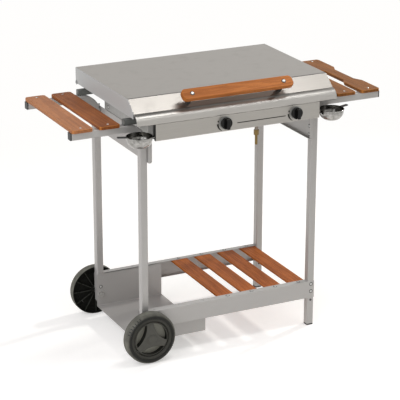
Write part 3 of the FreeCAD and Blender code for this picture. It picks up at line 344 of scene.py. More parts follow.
def screw_place(points):
    """The middle of a screw's seat and the way that its head faces."""
    low, high = box_of(points)
    size = high - low
    middle = (low + high) / 2
    along = min(range(3), key=lambda i: abs(size[i - 1] - size[i - 2]))
    reach = [abs(p[along - 1] - middle[along - 1]) for p in points]
    wide = [p[along] for p, out in zip(points, reach) if out > max(reach) * rim_share]
    way = 1 if sum(wide) / len(wide) > middle[along] else -1
    seat = middle.copy()
    seat[along] = (high if way > 0 else low)[along] - way * seat_lift
    facing = Vector((0, 0, 0))
    facing[along] = way
    return seat, facing


def new_tree(name, sizes):
    """A Geometry Nodes tree with named sizes, a wire to build it with, and its inputs by name."""
    tree = bpy.data.node_groups.new(name, "GeometryNodeTree")
    tree.interface.new_socket("Geometry", in_out="OUTPUT", socket_type="NodeSocketGeometry")
    tree.interface.new_socket("Geometry", in_out="INPUT", socket_type="NodeSocketGeometry")
    for size in sizes:
        tree.interface.new_socket(size, in_out="INPUT", socket_type="NodeSocketFloat")
    source = tree.nodes.new("NodeGroupInput")
    return tree, Wire(tree), {output.name: Wire(tree, output) for output in source.outputs if output.name}


def combined(wire, x=0.0, y=0.0, z=0.0):
    """A vector of three wires or numbers."""
    return wire.node("ShaderNodeCombineXYZ", {}, {0: x, 1: y, 2: z})


def attribute_of(wire, name, kind="FLOAT_VECTOR"):
    """What a named attribute of the points says."""
    return wire.node("GeometryNodeInputNamedAttribute", {"data_type": kind}, {"Name": name})


def moved(wire, geometry, offset):
    """Geometry shifted by an offset."""
    return wire.node("GeometryNodeTransform", {}, {"Geometry": geometry, "Translation": offset})


def end_tree(wire, geometry, material, marked=None):
    """Ends a tree in one material, or in a second one where the attribute "marked" is set."""
    real = wire.node("GeometryNodeRealizeInstances", {}, {"Geometry": geometry})
    dressed = wire.node("GeometryNodeSetMaterial", {}, {"Geometry": real, "Material": material})
    if marked:
        chosen = attribute_of(wire, "marked", "BOOLEAN")
        dressed = wire.node("GeometryNodeSetMaterial", {},
                            {"Geometry": dressed, "Selection": chosen, "Material": marked})
    wire.node("NodeGroupOutput", {}, {"Geometry": dressed})


def applied(piece, modifier):
    """The mesh that a modifier makes of a piece. The modifier is then taken off."""
    graph = bpy.context.evaluated_depsgraph_get()
    mesh = bpy.data.meshes.new_from_object(piece.evaluated_get(graph))
    piece.modifiers.remove(modifier)
    return mesh


def grown(name, points, tree, sizes, attributes={}):
    """A new piece: the tree run on these points with these sizes, kept as a plain mesh."""
    mesh = bpy.data.meshes.new(name)
    mesh.from_pydata(points, [], [])
    for label, values in attributes.items():
        attribute = mesh.attributes.new(label, "FLOAT_VECTOR", "POINT")
        for slot, value in zip(attribute.data, values):
            slot.vector = value
    piece = bpy.data.objects.new(name, mesh)
    bpy.context.scene.collection.objects.link(piece)
    modifier = piece.modifiers.new("tree", "NODES")
    modifier.node_group = tree
    for item in tree.interface.items_tree:
        if item.in_out == "INPUT" and item.name in sizes:
            modifier[item.identifier] = sizes[item.name]
    piece.data = applied(piece, modifier)
    piece.data.name = name
    return piece


screw_sizes = {"Head Radius": 0.0046, "Head Height": 0.0021, "Recess Length": 0.0050, "Recess Width": 0.0009,
               "Shade Disc Radius": 0.0068, "Shade Disc Height": 0.0006}
wood_screw_sizes = {**screw_sizes, "Head Radius": 0.0036, "Recess Length": 0.0042, "Shade Disc Radius": 0.0034}
dome_segments = 24
dome_rings = 14
shade_disc_sides = 32
recess_share = 1.1
base_width = 4.0
base_depth = 3.9
base_drop = -2.0
most_turn = 1.57
turn_seed = 11
screw_tree, wire, size = new_tree("pan_head_screws", screw_sizes)
radius = size["Head Radius"]
rise = size["Head Height"]
dome = wire.node("GeometryNodeMeshUVSphere", {},
                 {"Segments": dome_segments, "Rings": dome_rings, "Radius": 1.0})
squat = combined(wire, radius, radius, rise)
dome = wire.node("GeometryNodeTransform", {}, {"Geometry": dome, "Scale": squat})
cuts = []
for long, short in (("Recess Length", "Recess Width"), ("Recess Width", "Recess Length")):
    bar = combined(wire, size[long], size[short], rise * recess_share)
    bar = wire.node("GeometryNodeMeshCube", {}, {"Size": bar})
    cuts.append(moved(wire, bar, combined(wire, z=rise)))
base = combined(wire, radius * base_width, radius * base_width, rise * base_depth)
base = wire.node("GeometryNodeMeshCube", {}, {"Size": base})
cuts.append(moved(wire, base, combined(wire, z=rise * base_drop)))
head = wire.node("GeometryNodeMeshBoolean", {"operation": "DIFFERENCE"}, {"Mesh 1": dome, "Mesh 2": cuts})
disc = wire.node("GeometryNodeMeshCylinder", {}, {"Vertices": shade_disc_sides, "Radius": size["Shade Disc Radius"],
                                                  "Depth": size["Shade Disc Height"]})
disc = wire.node("GeometryNodeStoreNamedAttribute", {"data_type": "BOOLEAN", "domain": "FACE"},
                 {"Geometry": disc, "Name": "marked", "Value": True})
head = wire.node("GeometryNodeJoinGeometry", {}, {"Geometry": [head, disc]})
stand = wire.node("FunctionNodeAlignRotationToVector", {"axis": "Z"},
                  {"Vector": attribute_of(wire, "facing")})
turn = wire.node("FunctionNodeRandomValue", {"data_type": "FLOAT"},
                 {2: 0.0, 3: most_turn, "Seed": turn_seed}, 1)
turn = wire.node("FunctionNodeAxisAngleToRotation", {}, {"Axis": (0, 0, 1), "Angle": turn})
stand = wire.node("FunctionNodeRotateRotation", {"rotation_space": "LOCAL"},
                  {"Rotation": stand, "Rotate By": turn})
heads = wire.node("GeometryNodeInstanceOnPoints", {},
                  {"Points": size["Geometry"], "Instance": head, "Rotation": stand})
end_tree(wire, heads, zinc, screw_shade_disc)
driven = {"frame_screws": screw_sizes, "slat_screws": screw_sizes, "board_screws": wood_screw_sizes}
for node, sizes in driven.items():
    places = [screw_place(part) for part in loose_parts(node)]
    screws = grown(node + "_driven", [seat for seat, way in places], screw_tree, sizes,
                   {"facing": [way for seat, way in places]})
    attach(screws, "trolley")
    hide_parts(node)

# Slats of the lower shelf and boards of the side shelves: oiled red hardwood, planed, with the grain along
# each board. The long edges are rounded over and drawn in a lighter tone.
def hardwood(name, along, dark, light, edge, gloss, tilt=0.0):
    """Wood with drawn-out growth rings, fine fibres and dark pores; along is the axis of the grain."""
    material, spot = begin(name)
    stretch = tuple(0.055 if axis == along else 1.0 for axis in "XYZ")
    fine = tuple(0.02 if axis == along else 1.0 for axis in "XYZ")
    sway = noise(spot, 26, 3.0, stretch)
    rings = sway.sum("SINE", sway * 46.0) * 0.5 + 0.5
    fibres = noise(spot, 900, 2.0, fine)
    blotch = noise(spot, 7, 2.0)
    pores = noise(spot, 1500, 1.0, fine).step(0.60, 0.70)
    tone = rings * 0.34 + fibres * 0.52 + (blotch - 0.5) * 0.75 + 0.07
    wood = mixed(tone, dark, light)
    wood = mixed(pores * 0.55, wood, (dark[0] * 0.35, dark[1] * 0.3, dark[2] * 0.3, 1))
    normal = spot.node("ShaderNodeTexCoord", out="Normal")
    normal = spot.node("ShaderNodeVectorRotate", {"rotation_type": "X_AXIS"},
                       {"Vector": normal, "Angle": -tilt})
    x, y, z = [abs(side) for side in normal.axes()]
    corner = 1 - x.larger(y).larger(z).step(0.80, 0.985)
    wood = mixed(corner * 0.75, wood, edge)
    relief = fibres * 0.6 + rings * 0.4 - pores * 0.9
    complete(spot, {"Base Color": wood, "Roughness": 0.44 + 0.16 * fibres + 0.12 * pores,
                    "Specular IOR Level": gloss, "Normal": bump(relief, 0.00012)})
    return material


rounded_edge_tone = (0.54, 0.20, 0.045, 1)
dull = 0.14
shiny = 0.45
woods = (("red_board_hardwood", (0.155, 0.043, 0.010, 1), (0.385, 0.122, 0.030, 1), dull,
          ["board_left_inner"]),
         ("brown_board_hardwood", (0.150, 0.052, 0.011, 1), (0.330, 0.130, 0.034, 1), dull,
          ["board_right_inner", "pull_handle_board"]),
         ("amber_board_hardwood", (0.225, 0.070, 0.016, 1), (0.49, 0.185, 0.058, 1), shiny,
          ["board_left_outer"]),
         ("slat_hardwood", (0.240, 0.055, 0.009, 1), (0.575, 0.168, 0.034, 1), dull,
          ["shelf_slat"]))
for name, dark, light, gloss, nodes in woods:
    wear(hardwood(name, "Y", dark, light, rounded_edge_tone, gloss), *nodes)

# Wheels: a charcoal moulding, crowned and with three deep pockets between its spokes, sunk a little in a soft
# tread ring that is open behind with ribs across it. Each turns on a zinc stub axle under a low cap.
low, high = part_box("wheel_front_tyre")
axle = (low + high) / 2
wheel_radius = (high.z - low.z) / 2
wheel_width = high.y - low.y
outer_sides = {"front": (low.y, -1), "rear": (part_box("wheel_rear_tyre")[1].y, 1)}
frame_middle = (outer_sides["front"][0] + outer_sides["rear"][0]) / 2
outer_reach = outer_sides["rear"][0] - frame_middle
tread_inner = 0.0632
shoulder_round = 0.013
tread_edge = 0.004
lip_radius = 0.0665
groove_radius = 0.0735
groove_width = 0.0017
channel_depth = 0.0235
hub_radius = 0.0626
hub_back = 0.0245
bore_radius = 0.0052
boss_radius = 0.0175
boss_flank = 0.0012
crown_radius = 0.050
hub_brim = 0.0595
sleeve_radius = 0.017
sleeve_foot = 0.019
hub_rib_inner = 0.0156
rib_count = 12
rib_width = 0.0025
rib_back = 0.0330
rib_root = 0.001
rib_bite = 0.0006
tip_margin = 0.0005
tip_height = 0.0030
floor_margin = 0.0008
spoke_angles = (95.0, 215.0, 335.0)
pocket_turn = 60.0
pocket_rim = 0.0565
pocket_circle = 0.091
pocket_centre = 0.119
pocket_floor = 0.0215
pocket_start = -0.004
cap_seat = -0.0003
cap_radius = 0.0155
cap_crown = 0.0100
cap_steps = 64


def deeper(reach, far, near):
    """1 for a wheel's points that lie deeper than far from its outer side, and 0 for those short of near."""
    return 1 - reach.step(outer_reach - far, outer_reach - near)


def back_shade_colour(reach):
    """Painted shade for a wheel's open back: near black, with a painted highlight on the edges of the ribs.
    """
    rib_tip_highlight = deeper(reach, rib_back - tip_margin, rib_back - tip_height)
    return mixed(rib_tip_highlight, (0.010, 0.011, 0.008, 1), (0.024, 0.025, 0.019, 1))


tread_fade = (0.080, 0.084)
inside_shade_fade = (0.012, 0.007)
back_shade_fade = (0.0240, 0.0230)
pocket_light_fade = (0.0200, 0.0160)
wall_shade_fade = (0.0050, 0.0035)
rim_blur = 0.001
rubber, spot = begin("tread_rubber")
skin = noise(spot, 1300, 3.0)
dust = noise(spot, 38, 4.0).step(0.35, 0.75)
normal = spot.node("ShaderNodeTexCoord", out="Normal").axes()
x, y, z = spot.axes()
across = x - axle.x
above = z - axle.z
distance = across.hypot(above)
reach = abs(y - frame_middle)
facing_out = (normal[0] * across + normal[2] * above) / distance
running = facing_out.step(0.2, 0.9) * distance.step(*tread_fade)
# Inside the tread's channel, all that is not running surface is near black: painted shade.
inside_shade = deeper(reach, *inside_shade_fade) * (1 - running)
side_black = mixed(dust, (0.011, 0.011, 0.009, 1), (0.024, 0.024, 0.020, 1))
rim_band = 1 - distance.step(groove_radius - rim_blur, groove_radius)
side_black = mixed(rim_band, side_black, (0.048, 0.047, 0.039, 1))
side_black = mixed(inside_shade, side_black, back_shade_colour(reach))
tread_grey = mixed(dust, (0.096, 0.094, 0.078, 1), (0.184, 0.180, 0.151, 1))
complete(spot, {"Base Color": mixed(running, side_black, tread_grey), "Roughness": 0.58 + 0.2 * dust,
                "Specular IOR Level": 0.27, "Normal": bump(skin, 0.0001)})
hub_plastic, spot = begin("hub_moulding")
spark = noise(spot, 1800, 2.0)
flow = noise(spot, 22, 3.0)
sideways = abs(spot.node("ShaderNodeTexCoord", out="Normal").axes()[1])
reach = abs(spot.axes()[1] - frame_middle)
# The hub's back and the walls of its pockets are near black: painted shade.
behind = deeper(reach, *back_shade_fade)
# The floors of the hub's pockets are much lighter than its face: painted light.
sunk = deeper(reach, *pocket_light_fade)
wall = (1 - sideways.step(0.3, 0.6)) * deeper(reach, *wall_shade_fade)
hub_grey = mixed(flow, (0.052, 0.051, 0.042, 1), (0.086, 0.084, 0.069, 1))
hub_grey = mixed(sunk, hub_grey, (0.280, 0.276, 0.230, 1))
hub_grey = mixed(behind.larger(wall), hub_grey, back_shade_colour(reach))
complete(spot, {"Base Color": hub_grey, "Roughness": 0.40 + 0.18 * flow, "Specular IOR Level": 0.4,
                "Normal": bump(spark, 0.00007)})
wear(zinc, "stub_axles")
# The floors at the back of each wheel are near black: painted shade.
shade_black, spot = begin("painted_back_shade")
mist = noise(spot, 60, 3.0)
complete(spot, {"Base Color": mixed(mist, (0.009, 0.009, 0.008, 1), (0.020, 0.020, 0.017, 1)),
                "Roughness": 0.9, "Specular IOR Level": 0.04})


def rounded(corners, steps=7):
    """A closed outline through corners, each a radius, a depth from the wheel's outer side and a rounding."""
    points = []
    for i, (radius, depth, rounding) in enumerate(corners):
        here = Vector((radius, depth))
        before = (Vector(corners[i - 1][:2]) - here).normalized()
        after = (Vector(corners[(i + 1) % len(corners)][:2]) - here).normalized()
        half = before.angle(after) / 2
        centre = here + (before + after).normalized() * rounding / math.sin(half)
        start = here + before * rounding / math.tan(half) - centre
        end = here + after * rounding / math.tan(half) - centre
        if rounding == 0:
            points.append(here)
            continue
        for k in range(steps):
            points.append(centre + start.lerp(end, k / (steps - 1)).normalized() * rounding)
    return points


def at_wheel(end, radius, angle, depth):
    """A point of a wheel: depth runs in from its outer side."""
    side, outward = outer_sides[end]
    x = axle.x + radius * math.cos(angle)
    z = axle.z + radius * math.sin(angle)
    return Vector((x, side - outward * depth, z))


def turned(shape, end, outline, steps=96):
    """Turns a closed outline of radii and depths about the axle."""
    rings = []
    for i in range(steps):
        angle = math.tau * i / steps
        rings.append([shape.verts.new(at_wheel(end, radius, angle, depth)) for radius, depth in outline])
    for i in range(steps):
        for k in range(len(outline)):
            shape.faces.new((rings[i - 1][k - 1], rings[i - 1][k], rings[i][k], rings[i][k - 1]))


def prism(mesh, near, far):
    """A solid between two like outlines of points."""
    near = [mesh.verts.new(point) for point in near]
    far = [mesh.verts.new(point) for point in far]
    mesh.faces.new(near)
    mesh.faces.new(far[::-1])
    for k in range(len(near)):
        mesh.faces.new((near[k - 1], far[k - 1], far[k], near[k]))


def ribs_across(shape, end, inner, outer, front, back):
    """Ribs like spokes, from one depth to another."""
    for i in range(rib_count):
        angle = math.tau * i / rib_count
        inner_lean = math.asin(rib_width / 2 / inner)
        outer_lean = math.asin(rib_width / 2 / outer)
        corners = [(inner, angle - inner_lean), (inner, angle + inner_lean),
                   (outer, angle + outer_lean), (outer, angle - outer_lean)]
        prism(shape, [at_wheel(end, *corner, front) for corner in corners],
              [at_wheel(end, *corner, back) for corner in corners])


def half_angle(own, other):
    """Half the angle that one arc of a pocket spans about its centre, from its radius and the other arc's."""
    return math.acos((own ** 2 + pocket_centre ** 2 - other ** 2) / (2 * own * pocket_centre))


def pocket(shape, end, middle, steps=12):
    """A lens between an arc of the rim and an arc that bulges towards the axle, as a prism."""
    outline = []
    for k in range(-steps, steps + 1):
        turn = half_angle(pocket_rim, pocket_circle) * k / steps
        outline.append((pocket_rim * math.cos(turn), pocket_rim * math.sin(turn)))
    for k in range(steps - 1, -steps, -1):
        turn = half_angle(pocket_circle, pocket_rim) * k / steps
        outline.append((pocket_centre - pocket_circle * math.cos(turn), pocket_circle * math.sin(turn)))
    polar = [(math.hypot(a, b), middle + math.atan2(b, a)) for a, b in outline]
    prism(shape, [at_wheel(end, *point, pocket_start) for point in polar],
          [at_wheel(end, *point, pocket_floor) for point in polar])


def darken_back(shape, end, depth):
    """Gives the floor behind this depth the second material, a near-black painted shade, up to the tread's
    wall.
    """
    side, outward = outer_sides[end]
    for face in shape.faces:
        middle = face.calc_center_median()
        inner = math.hypot(middle.x - axle.x, middle.z - axle.z) < wheel_radius - tread_edge / 2
        face.material_index = int(inner and (side - middle.y) * outward > depth)


def finished(name, shape, *materials, crease=35):
    """A piece of this mesh, its faces turned outwards and smooth but for its sharp edges."""
    bmesh.ops.remove_doubles(shape, verts=shape.verts, dist=1e-7)
    bmesh.ops.recalc_face_normals(shape, faces=shape.faces)
    mesh = bpy.data.meshes.new(name)
    shape.to_mesh(mesh)
    shape.free()
    mesh.shade_smooth()
    mesh.set_sharp_from_angle(angle=math.radians(crease))
    for material in materials:
        mesh.materials.append(material)
    piece = bpy.data.objects.new(name, mesh)
    bpy.context.scene.collection.objects.link(piece)
    return piece


tread_outline = rounded([(tread_inner, 0.0060, 0.0008), (lip_radius, 0.0006, 0.0020),
                         (groove_radius, 0.0028, 0.0008), (groove_radius + groove_width, 0, 0.0012),
                         (wheel_radius, 0, shoulder_round), (wheel_radius, wheel_width, 0.0015),
                         (wheel_radius - tread_edge, wheel_width, 0.001),
                         (wheel_radius - tread_edge, channel_depth, 0.003),
                         (tread_inner, channel_depth, 0.0008)])
hub_outline = rounded([(bore_radius, 0.0006, 0), (boss_radius, 0.0006, 0.0006),
                       (boss_radius + boss_flank, 0.0022, 0.0008), (crown_radius, 0.0034, 0.04),
                       (hub_brim, 0.0056, 0.003), (hub_radius, 0.0100, 0.001), (hub_radius, hub_back, 0.0008),
                       (sleeve_foot, hub_back, 0.002), (sleeve_radius, wheel_width, 0.001),
                       (bore_radius, wheel_width, 0)])
cap_outline = rounded([(0, cap_seat, 0), (0, -0.0036, 0), (cap_crown, -0.0030, 0.02),
                       (cap_radius, -0.0014, 0.0010), (cap_radius, cap_seat, 0)])
caps = bmesh.new()
for end in outer_sides:
    shape = bmesh.new()
    turned(shape, end, tread_outline)
    darken_back(shape, end, channel_depth - floor_margin)
    ribs_across(shape, end, tread_inner + rib_bite, wheel_radius - tread_edge / 2, channel_depth - rib_root,
                rib_back)
    tyre = finished(f"tread_{end}", shape, rubber, shade_black)
    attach(tyre, f"wheel_{end}")
    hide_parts(f"wheel_{end}_tyre")
    shape = bmesh.new()
    for angle in spoke_angles:
        pocket(shape, end, math.radians(angle + pocket_turn))
    cutter = finished("pocket_cutter", shape, hub_plastic)
    shape = bmesh.new()
    turned(shape, end, hub_outline)
    hub = finished(f"hub_{end}", shape, hub_plastic)
    cut = hub.modifiers.new("pockets", "BOOLEAN")
    cut.operation = "DIFFERENCE"
    cut.solver = "EXACT"
    cut.object = cutter
    shape = bmesh.new()
    shape.from_mesh(applied(hub, cut))
    darken_back(shape, end, hub_back - floor_margin)
    ribs_across(shape, end, hub_rib_inner, hub_radius - rib_bite, hub_back - rib_root, rib_back)
    bpy.data.objects.remove(hub)
    bpy.data.objects.remove(cutter)
    hub = finished(f"hub_{end}", shape, hub_plastic, shade_black)
    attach(hub, f"wheel_{end}")
    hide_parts(f"wheel_{end}_hub")
    turned(caps, end, cap_outline, cap_steps)
caps = finished("axle_cap_domes", caps, hub_plastic)
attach(caps, "trolley")
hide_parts("axle_caps")

tick_sizes = {"Tick Length": 0.0115, "Tick Width": 0.0030, "Tick Height": 0.0014}
first_ticks = {"front": 118, "rear": 305}
tick_pitch = 7
tick_count = 7
shoulder_fall = (1 - math.sqrt(0.5)) * shoulder_round
tick_tree, wire, size = new_tree("tread_ticks", tick_sizes)
tick = combined(wire, size["Tick Length"], size["Tick Width"], size["Tick Height"])
tick = wire.node("GeometryNodeMeshCube", {}, {"Size": tick})
lie = wire.node("FunctionNodeAlignRotationToVector", {"axis": "X"}, {"Vector": attribute_of(wire, "lie")})
lie = wire.node("FunctionNodeAlignRotationToVector", {"axis": "Z", "pivot_axis": "X"},
                {"Rotation": lie, "Vector": attribute_of(wire, "stand")})
ticks = wire.node("GeometryNodeInstanceOnPoints", {},
                  {"Points": size["Geometry"], "Instance": tick, "Rotation": lie})
end_tree(wire, ticks, plug_black)
for end, (side, outward) in outer_sides.items():
    angles = [math.radians(first_ticks[end] + tick_pitch * i) for i in range(tick_count)]
    spots = [at_wheel(end, wheel_radius - shoulder_fall, angle, shoulder_fall) for angle in angles]
    out = [Vector((math.cos(angle), outward, math.sin(angle))).normalized() for angle in angles]
    along = [Vector((math.cos(angle), -outward, math.sin(angle))).normalized() for angle in angles]
    ticks = grown(f"tread_ticks_{end}", spots, tick_tree, tick_sizes, {"lie": along, "stand": out})
    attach(ticks, f"wheel_{end}")

# Worktop and control panel: brushed stainless sheet, folded to a bullnose in front. The panel is screwed
# up under the nose, and carries the heat marks and the line that are printed on it.
def brushed_steel(name, dark, light, smooth, rough, end_tone, end_shade, fold, swirl=0.0):
    """Stainless sheet brushed along X, matt ends along Y, dark near a front edge, a painted reflection behind
    a fold.
    """
    material, spot = begin(name)
    normal = spot.node("ShaderNodeTexCoord", out="Normal").axes()
    ends = abs(normal[0]).step(0.55, 0.75)
    long = noise(spot, 800, 3.0, (0.012, 1, 1), 0.6)
    cross = noise(spot, 800, 3.0, (1, 0.012, 1), 0.6)
    lines = long * (1 - ends) + cross * ends
    cloud = noise(spot, 5.5, 3.0)
    smears = noise(spot, 26, 4.0).step(0.5, 0.8)
    tone = lines * 0.8 + cloud * 0.2 - swirl * smears
    along = spot.axes()[1]
    matt = mixed(tone, tuple(0.86 * part for part in end_tone) + (1,), end_tone + (1,))
    matt = mixed(1 - along.step(end_shade, end_shade + 0.012), matt, (0.022, 0.022, 0.020, 1))
    # The dark line along the fold, where the top turns into the slope, is painted reflection.
    fold_painted_reflection = (1 - along.step(fold, fold + 0.011)) * normal[2].step(0.80, 0.86)
    sheet = mixed(0.9 * fold_painted_reflection, mixed(tone, dark, light), (0.05, 0.05, 0.048, 1))
    grain = smooth + (rough - smooth) * (lines * 0.6 + cloud * 0.4)
    complete(spot, {"Base Color": mixed(ends, sheet, matt), "Metallic": 1 - 0.65 * ends,
                    "Roughness": grain + 0.05 * smears + 0.22 * ends, "Normal": bump(lines, 0.000035)})
    return material


nowhere = -1.0
panel_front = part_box("control_panel")[0].y
shade_depth = 0.016
deck_steel = brushed_steel("deck_steel", (0.370, 0.355, 0.333, 1), (0.470, 0.453, 0.427, 1), smooth=0.31,
                           rough=0.40, end_tone=(0.52, 0.51, 0.49), end_shade=nowhere, fold=nowhere)
wear(deck_steel, "worktop")
wear(lacquer, "worktop_supports")
panel_steel = brushed_steel("panel_steel", (0.326, 0.311, 0.287, 1), (0.412, 0.393, 0.364, 1), smooth=0.32,
                            rough=0.42, end_tone=(0.40, 0.39, 0.37), end_shade=panel_front + shade_depth,
                            fold=nowhere)
wear(panel_steel, "control_panel")

mark_ink, spot = begin("mark_ink")
ink = noise(spot, 900, 3.0)
complete(spot, {"Base Color": mixed(ink, (0.006, 0.006, 0.005, 1), (0.022, 0.020, 0.018, 1)),
                "Roughness": 0.6 + 0.2 * ink, "Specular IOR Level": 0.2})
mark_proud = 0.00012
dot_place = (-0.0264, 0.008)
dot_half = (0.0026, 0.0034)
dot_sides = 24
arc_radius = 0.0284
arc_start = 182
arc_sweep = 62
arc_half = 0.0028
arc_tip = 0.0005
arc_taper = 0.7
arc_steps = 24
line_ends = (-0.008, 0.173)
line_drop = 0.0058
line_half = 0.0015
ink_mesh = bmesh.new()


def print_mark(outline):
    """One inked shape on the panel's face, from points across it and up it."""
    prism(ink_mesh, [(x, panel_front - mark_proud, z) for x, z in outline],
          [(x, panel_front + mark_proud, z) for x, z in outline])


def round_knob(knob, radius, angle):
    """A point of the panel's face at a distance from a knob's middle."""
    return knob.x + radius * math.cos(angle), knob.z + radius * math.sin(angle)


for end in ("left", "right"):
    low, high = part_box(f"tap_plug_{end}")
    knob = (low + high) / 2
    dot = []
    for i in range(dot_sides):
        angle = math.tau * i / dot_sides
        dot.append((knob.x + dot_place[0] + dot_half[0] * math.cos(angle),
                    knob.z + dot_place[1] + dot_half[1] * math.sin(angle)))
    print_mark(dot)
    outer = []
    inner = []
    for i in range(arc_steps + 1):
        share = i / arc_steps
        angle = math.radians(arc_start + arc_sweep * share)
        half = arc_half * (1 - share) ** arc_taper + arc_tip
        outer.append(round_knob(knob, arc_radius + half, angle))
        inner.append(round_knob(knob, arc_radius - half, angle))
    print_mark(outer + inner[::-1])
line_left, line_right = line_ends
line_low = knob.z - line_drop - line_half
line_high = knob.z - line_drop + line_half
print_mark([(line_left, line_low), (line_right, line_low), (line_right, line_high), (line_left, line_high)])
bmesh.ops.recalc_face_normals(ink_mesh, faces=ink_mesh.faces)
marks = bpy.data.objects.new("panel_marks", bpy.data.meshes.new("panel_marks"))
bpy.context.scene.collection.objects.link(marks)
ink_mesh.to_mesh(marks.data)
ink_mesh.free()
marks.data.materials.append(mark_ink)
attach(marks, "trolley")

# Knobs and gas train: black moulded knobs over grey bezels, brass taps on a steel manifold, and the brass
# hose nozzle that hangs below it. The taps are turned on a lathe, which leaves fine rings.
knob_black, spot = begin("knob_moulding")
fine = noise(spot, 2200, 2.0)
haze = noise(spot, 45, 3.0)
complete(spot, {"Base Color": mixed(haze, (0.003, 0.003, 0.003, 1), (0.009, 0.009, 0.008, 1)),
                "Roughness": 0.14 + 0.16 * haze, "Specular IOR Level": 0.22, "Normal": bump(fine, 0.00003)})
wear(knob_black, "knob_left", "knob_right")
bezel_grey, spot = begin("bezel_satin")
satin = noise(spot, 1600, 2.0)
complete(spot, {"Base Color": mixed(satin, (0.34, 0.34, 0.325, 1), (0.44, 0.44, 0.42, 1)), "Metallic": 0.5,
                "Roughness": 0.38 + 0.15 * satin, "Normal": bump(satin, 0.00003)})
wear(bezel_grey, "knob_bezels")
brass, spot = begin("turned_brass")
lathe = noise(spot, 900, 2.0, (0.05, 1, 1))
tarnish = noise(spot, 55, 4.0)
complete(spot, {"Base Color": mixed(tarnish, (0.145, 0.094, 0.034, 1), (0.265, 0.182, 0.072, 1)),
                "Metallic": 1.0, "Roughness": 0.22 + 0.16 * lathe + 0.12 * tarnish,
                "Normal": bump(lathe, 0.00003)})
wear(brass, "gas_inlet", "tap_body", "tap_plug", "tap_stem")

# Firebox and fire: an aluminised sheet box with its hinge ears, U-tube burners, the wire grate with lava
# stones on it, and a chromed cooking grid. Heat has tinted the burners and dulled the box.
spangle_steel, spot = begin("aluminised_sheet")
cells = spot.node("ShaderNodeTexVoronoi", {}, {"Vector": spot, "Scale": 130.0, "Randomness": 1.0}, "Color")
cells = spot.node("ShaderNodeSeparateColor", {}, {"Color": cells})
haze = noise(spot, 14, 4.0)
tone = cells * 0.35 + haze * 0.65
complete(spot, {"Base Color": mixed(tone, (0.27, 0.265, 0.255, 1), (0.46, 0.455, 0.44, 1)), "Metallic": 0.9,
                "Roughness": 0.34 + 0.2 * haze + 0.06 * cells})
wear(spangle_steel, "firebox", "hinge_ears", "hinge_rod")
heat_steel, spot = begin("heat_tinted_steel")
drawn = noise(spot, 420, 2.0, (1, 0.06, 1))
heat = noise(spot, 16, 3.0).step(0.35, 0.7)
tint = mixed(heat, (0.33, 0.315, 0.295, 1), (0.27, 0.205, 0.135, 1))
complete(spot, {"Base Color": mixed(drawn * 0.4, tint, (0.12, 0.12, 0.15, 1)), "Metallic": 0.95,
                "Roughness": 0.32 + 0.2 * drawn + 0.1 * heat, "Normal": bump(drawn, 0.00004)})
wear(heat_steel, "burner_left", "burner_right", "lava_grate", "gas_manifold")
grid_chrome, spot = begin("grid_chrome")
plating = noise(spot, 260, 3.0)
warm = noise(spot, 9, 3.0).step(0.5, 0.8)
complete(spot, {"Base Color": mixed(warm * 0.5, (0.60, 0.60, 0.59, 1), (0.52, 0.45, 0.36, 1)),
                "Metallic": 1.0, "Roughness": 0.12 + 0.14 * plating})
wear(grid_chrome, "cooking_grid")

lava, spot = begin("lava_rock")
holes = spot.node("ShaderNodeTexVoronoi", {}, {"Vector": spot, "Scale": 420.0})
grit = noise(spot, 900, 4.0)
crust = noise(spot, 48, 4.0)
tone = crust * 0.7 + grit * 0.3
complete(spot, {"Base Color": mixed(tone, (0.028, 0.022, 0.020, 1), (0.135, 0.098, 0.082, 1)),
                "Roughness": 0.94, "Normal": bump(holes.step(0.0, 0.45) * 0.7 + grit * 0.3, 0.0012)})
stone_sizes = {"Pit Depth": 0.34, "Lump Scale": 62.0, "Shrink": 0.93}
pit_level = 0.72
pit_share = 0.045
stone_tree, wire, size = new_tree("lava_stones", stone_sizes)
ball = wire.node("GeometryNodeMeshIcoSphere", {}, {"Radius": 1.0, "Subdivisions": 4})
halves = wire.node("ShaderNodeVectorMath", {"operation": "SCALE"},
                   {0: attribute_of(wire, "halves"), "Scale": size["Shrink"]})
stones = wire.node("GeometryNodeInstanceOnPoints", {},
                   {"Points": size["Geometry"], "Instance": ball, "Scale": halves})
stones = wire.node("GeometryNodeRealizeInstances", {}, {"Geometry": stones})
place = wire.node("GeometryNodeInputPosition")
lumps = wire.node("ShaderNodeTexNoise", {}, {"Vector": place, "Scale": size["Lump Scale"], "Detail": 4.0})
outward = wire.node("GeometryNodeInputNormal")
inward = wire.node("ShaderNodeVectorMath", {"operation": "SCALE"},
                   {0: outward, "Scale": (lumps - pit_level) * size["Pit Depth"] * pit_share})
stones = wire.node("GeometryNodeSetPosition", {}, {"Geometry": stones, "Offset": inward})
end_tree(wire, stones, lava)
boxes = [box_of(part) for part in loose_parts("lava_stones")]
rocks = grown("lava_rocks", [(low + high) / 2 for low, high in boxes], stone_tree, stone_sizes,
              {"halves": [(high - low) / 2 for low, high in boxes]})
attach(rocks, "trolley")
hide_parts("lava_stones")

# Bowls at the ends of the panel: deep-drawn polished steel hung on a welded tongue, with a black plastic
# tab to lift each one by. Drawing leaves faint rings round the wall.
bowl_radius = 0.044
low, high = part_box("cup_right")
bowl_x = high.x - bowl_radius
bowl_y = (low.y + high.y) / 2
bowl_steel, spot = begin("bowl_steel")
rings = noise(spot, 240, 2.0, (0.05, 0.05, 1))
mottle = noise(spot, 95, 4.0)
# The shell and the inside are mottled lighter and darker by noise: painted reflection.
painted_reflection_mottle = mottle.step(0.3, 0.7)
x, y, _ = spot.axes()
normal = spot.node("ShaderNodeTexCoord", out="Normal").axes()
outward = (abs(x) - bowl_x) * normal[0] * x.sum("SIGN", x) + (y - bowl_y) * normal[1]
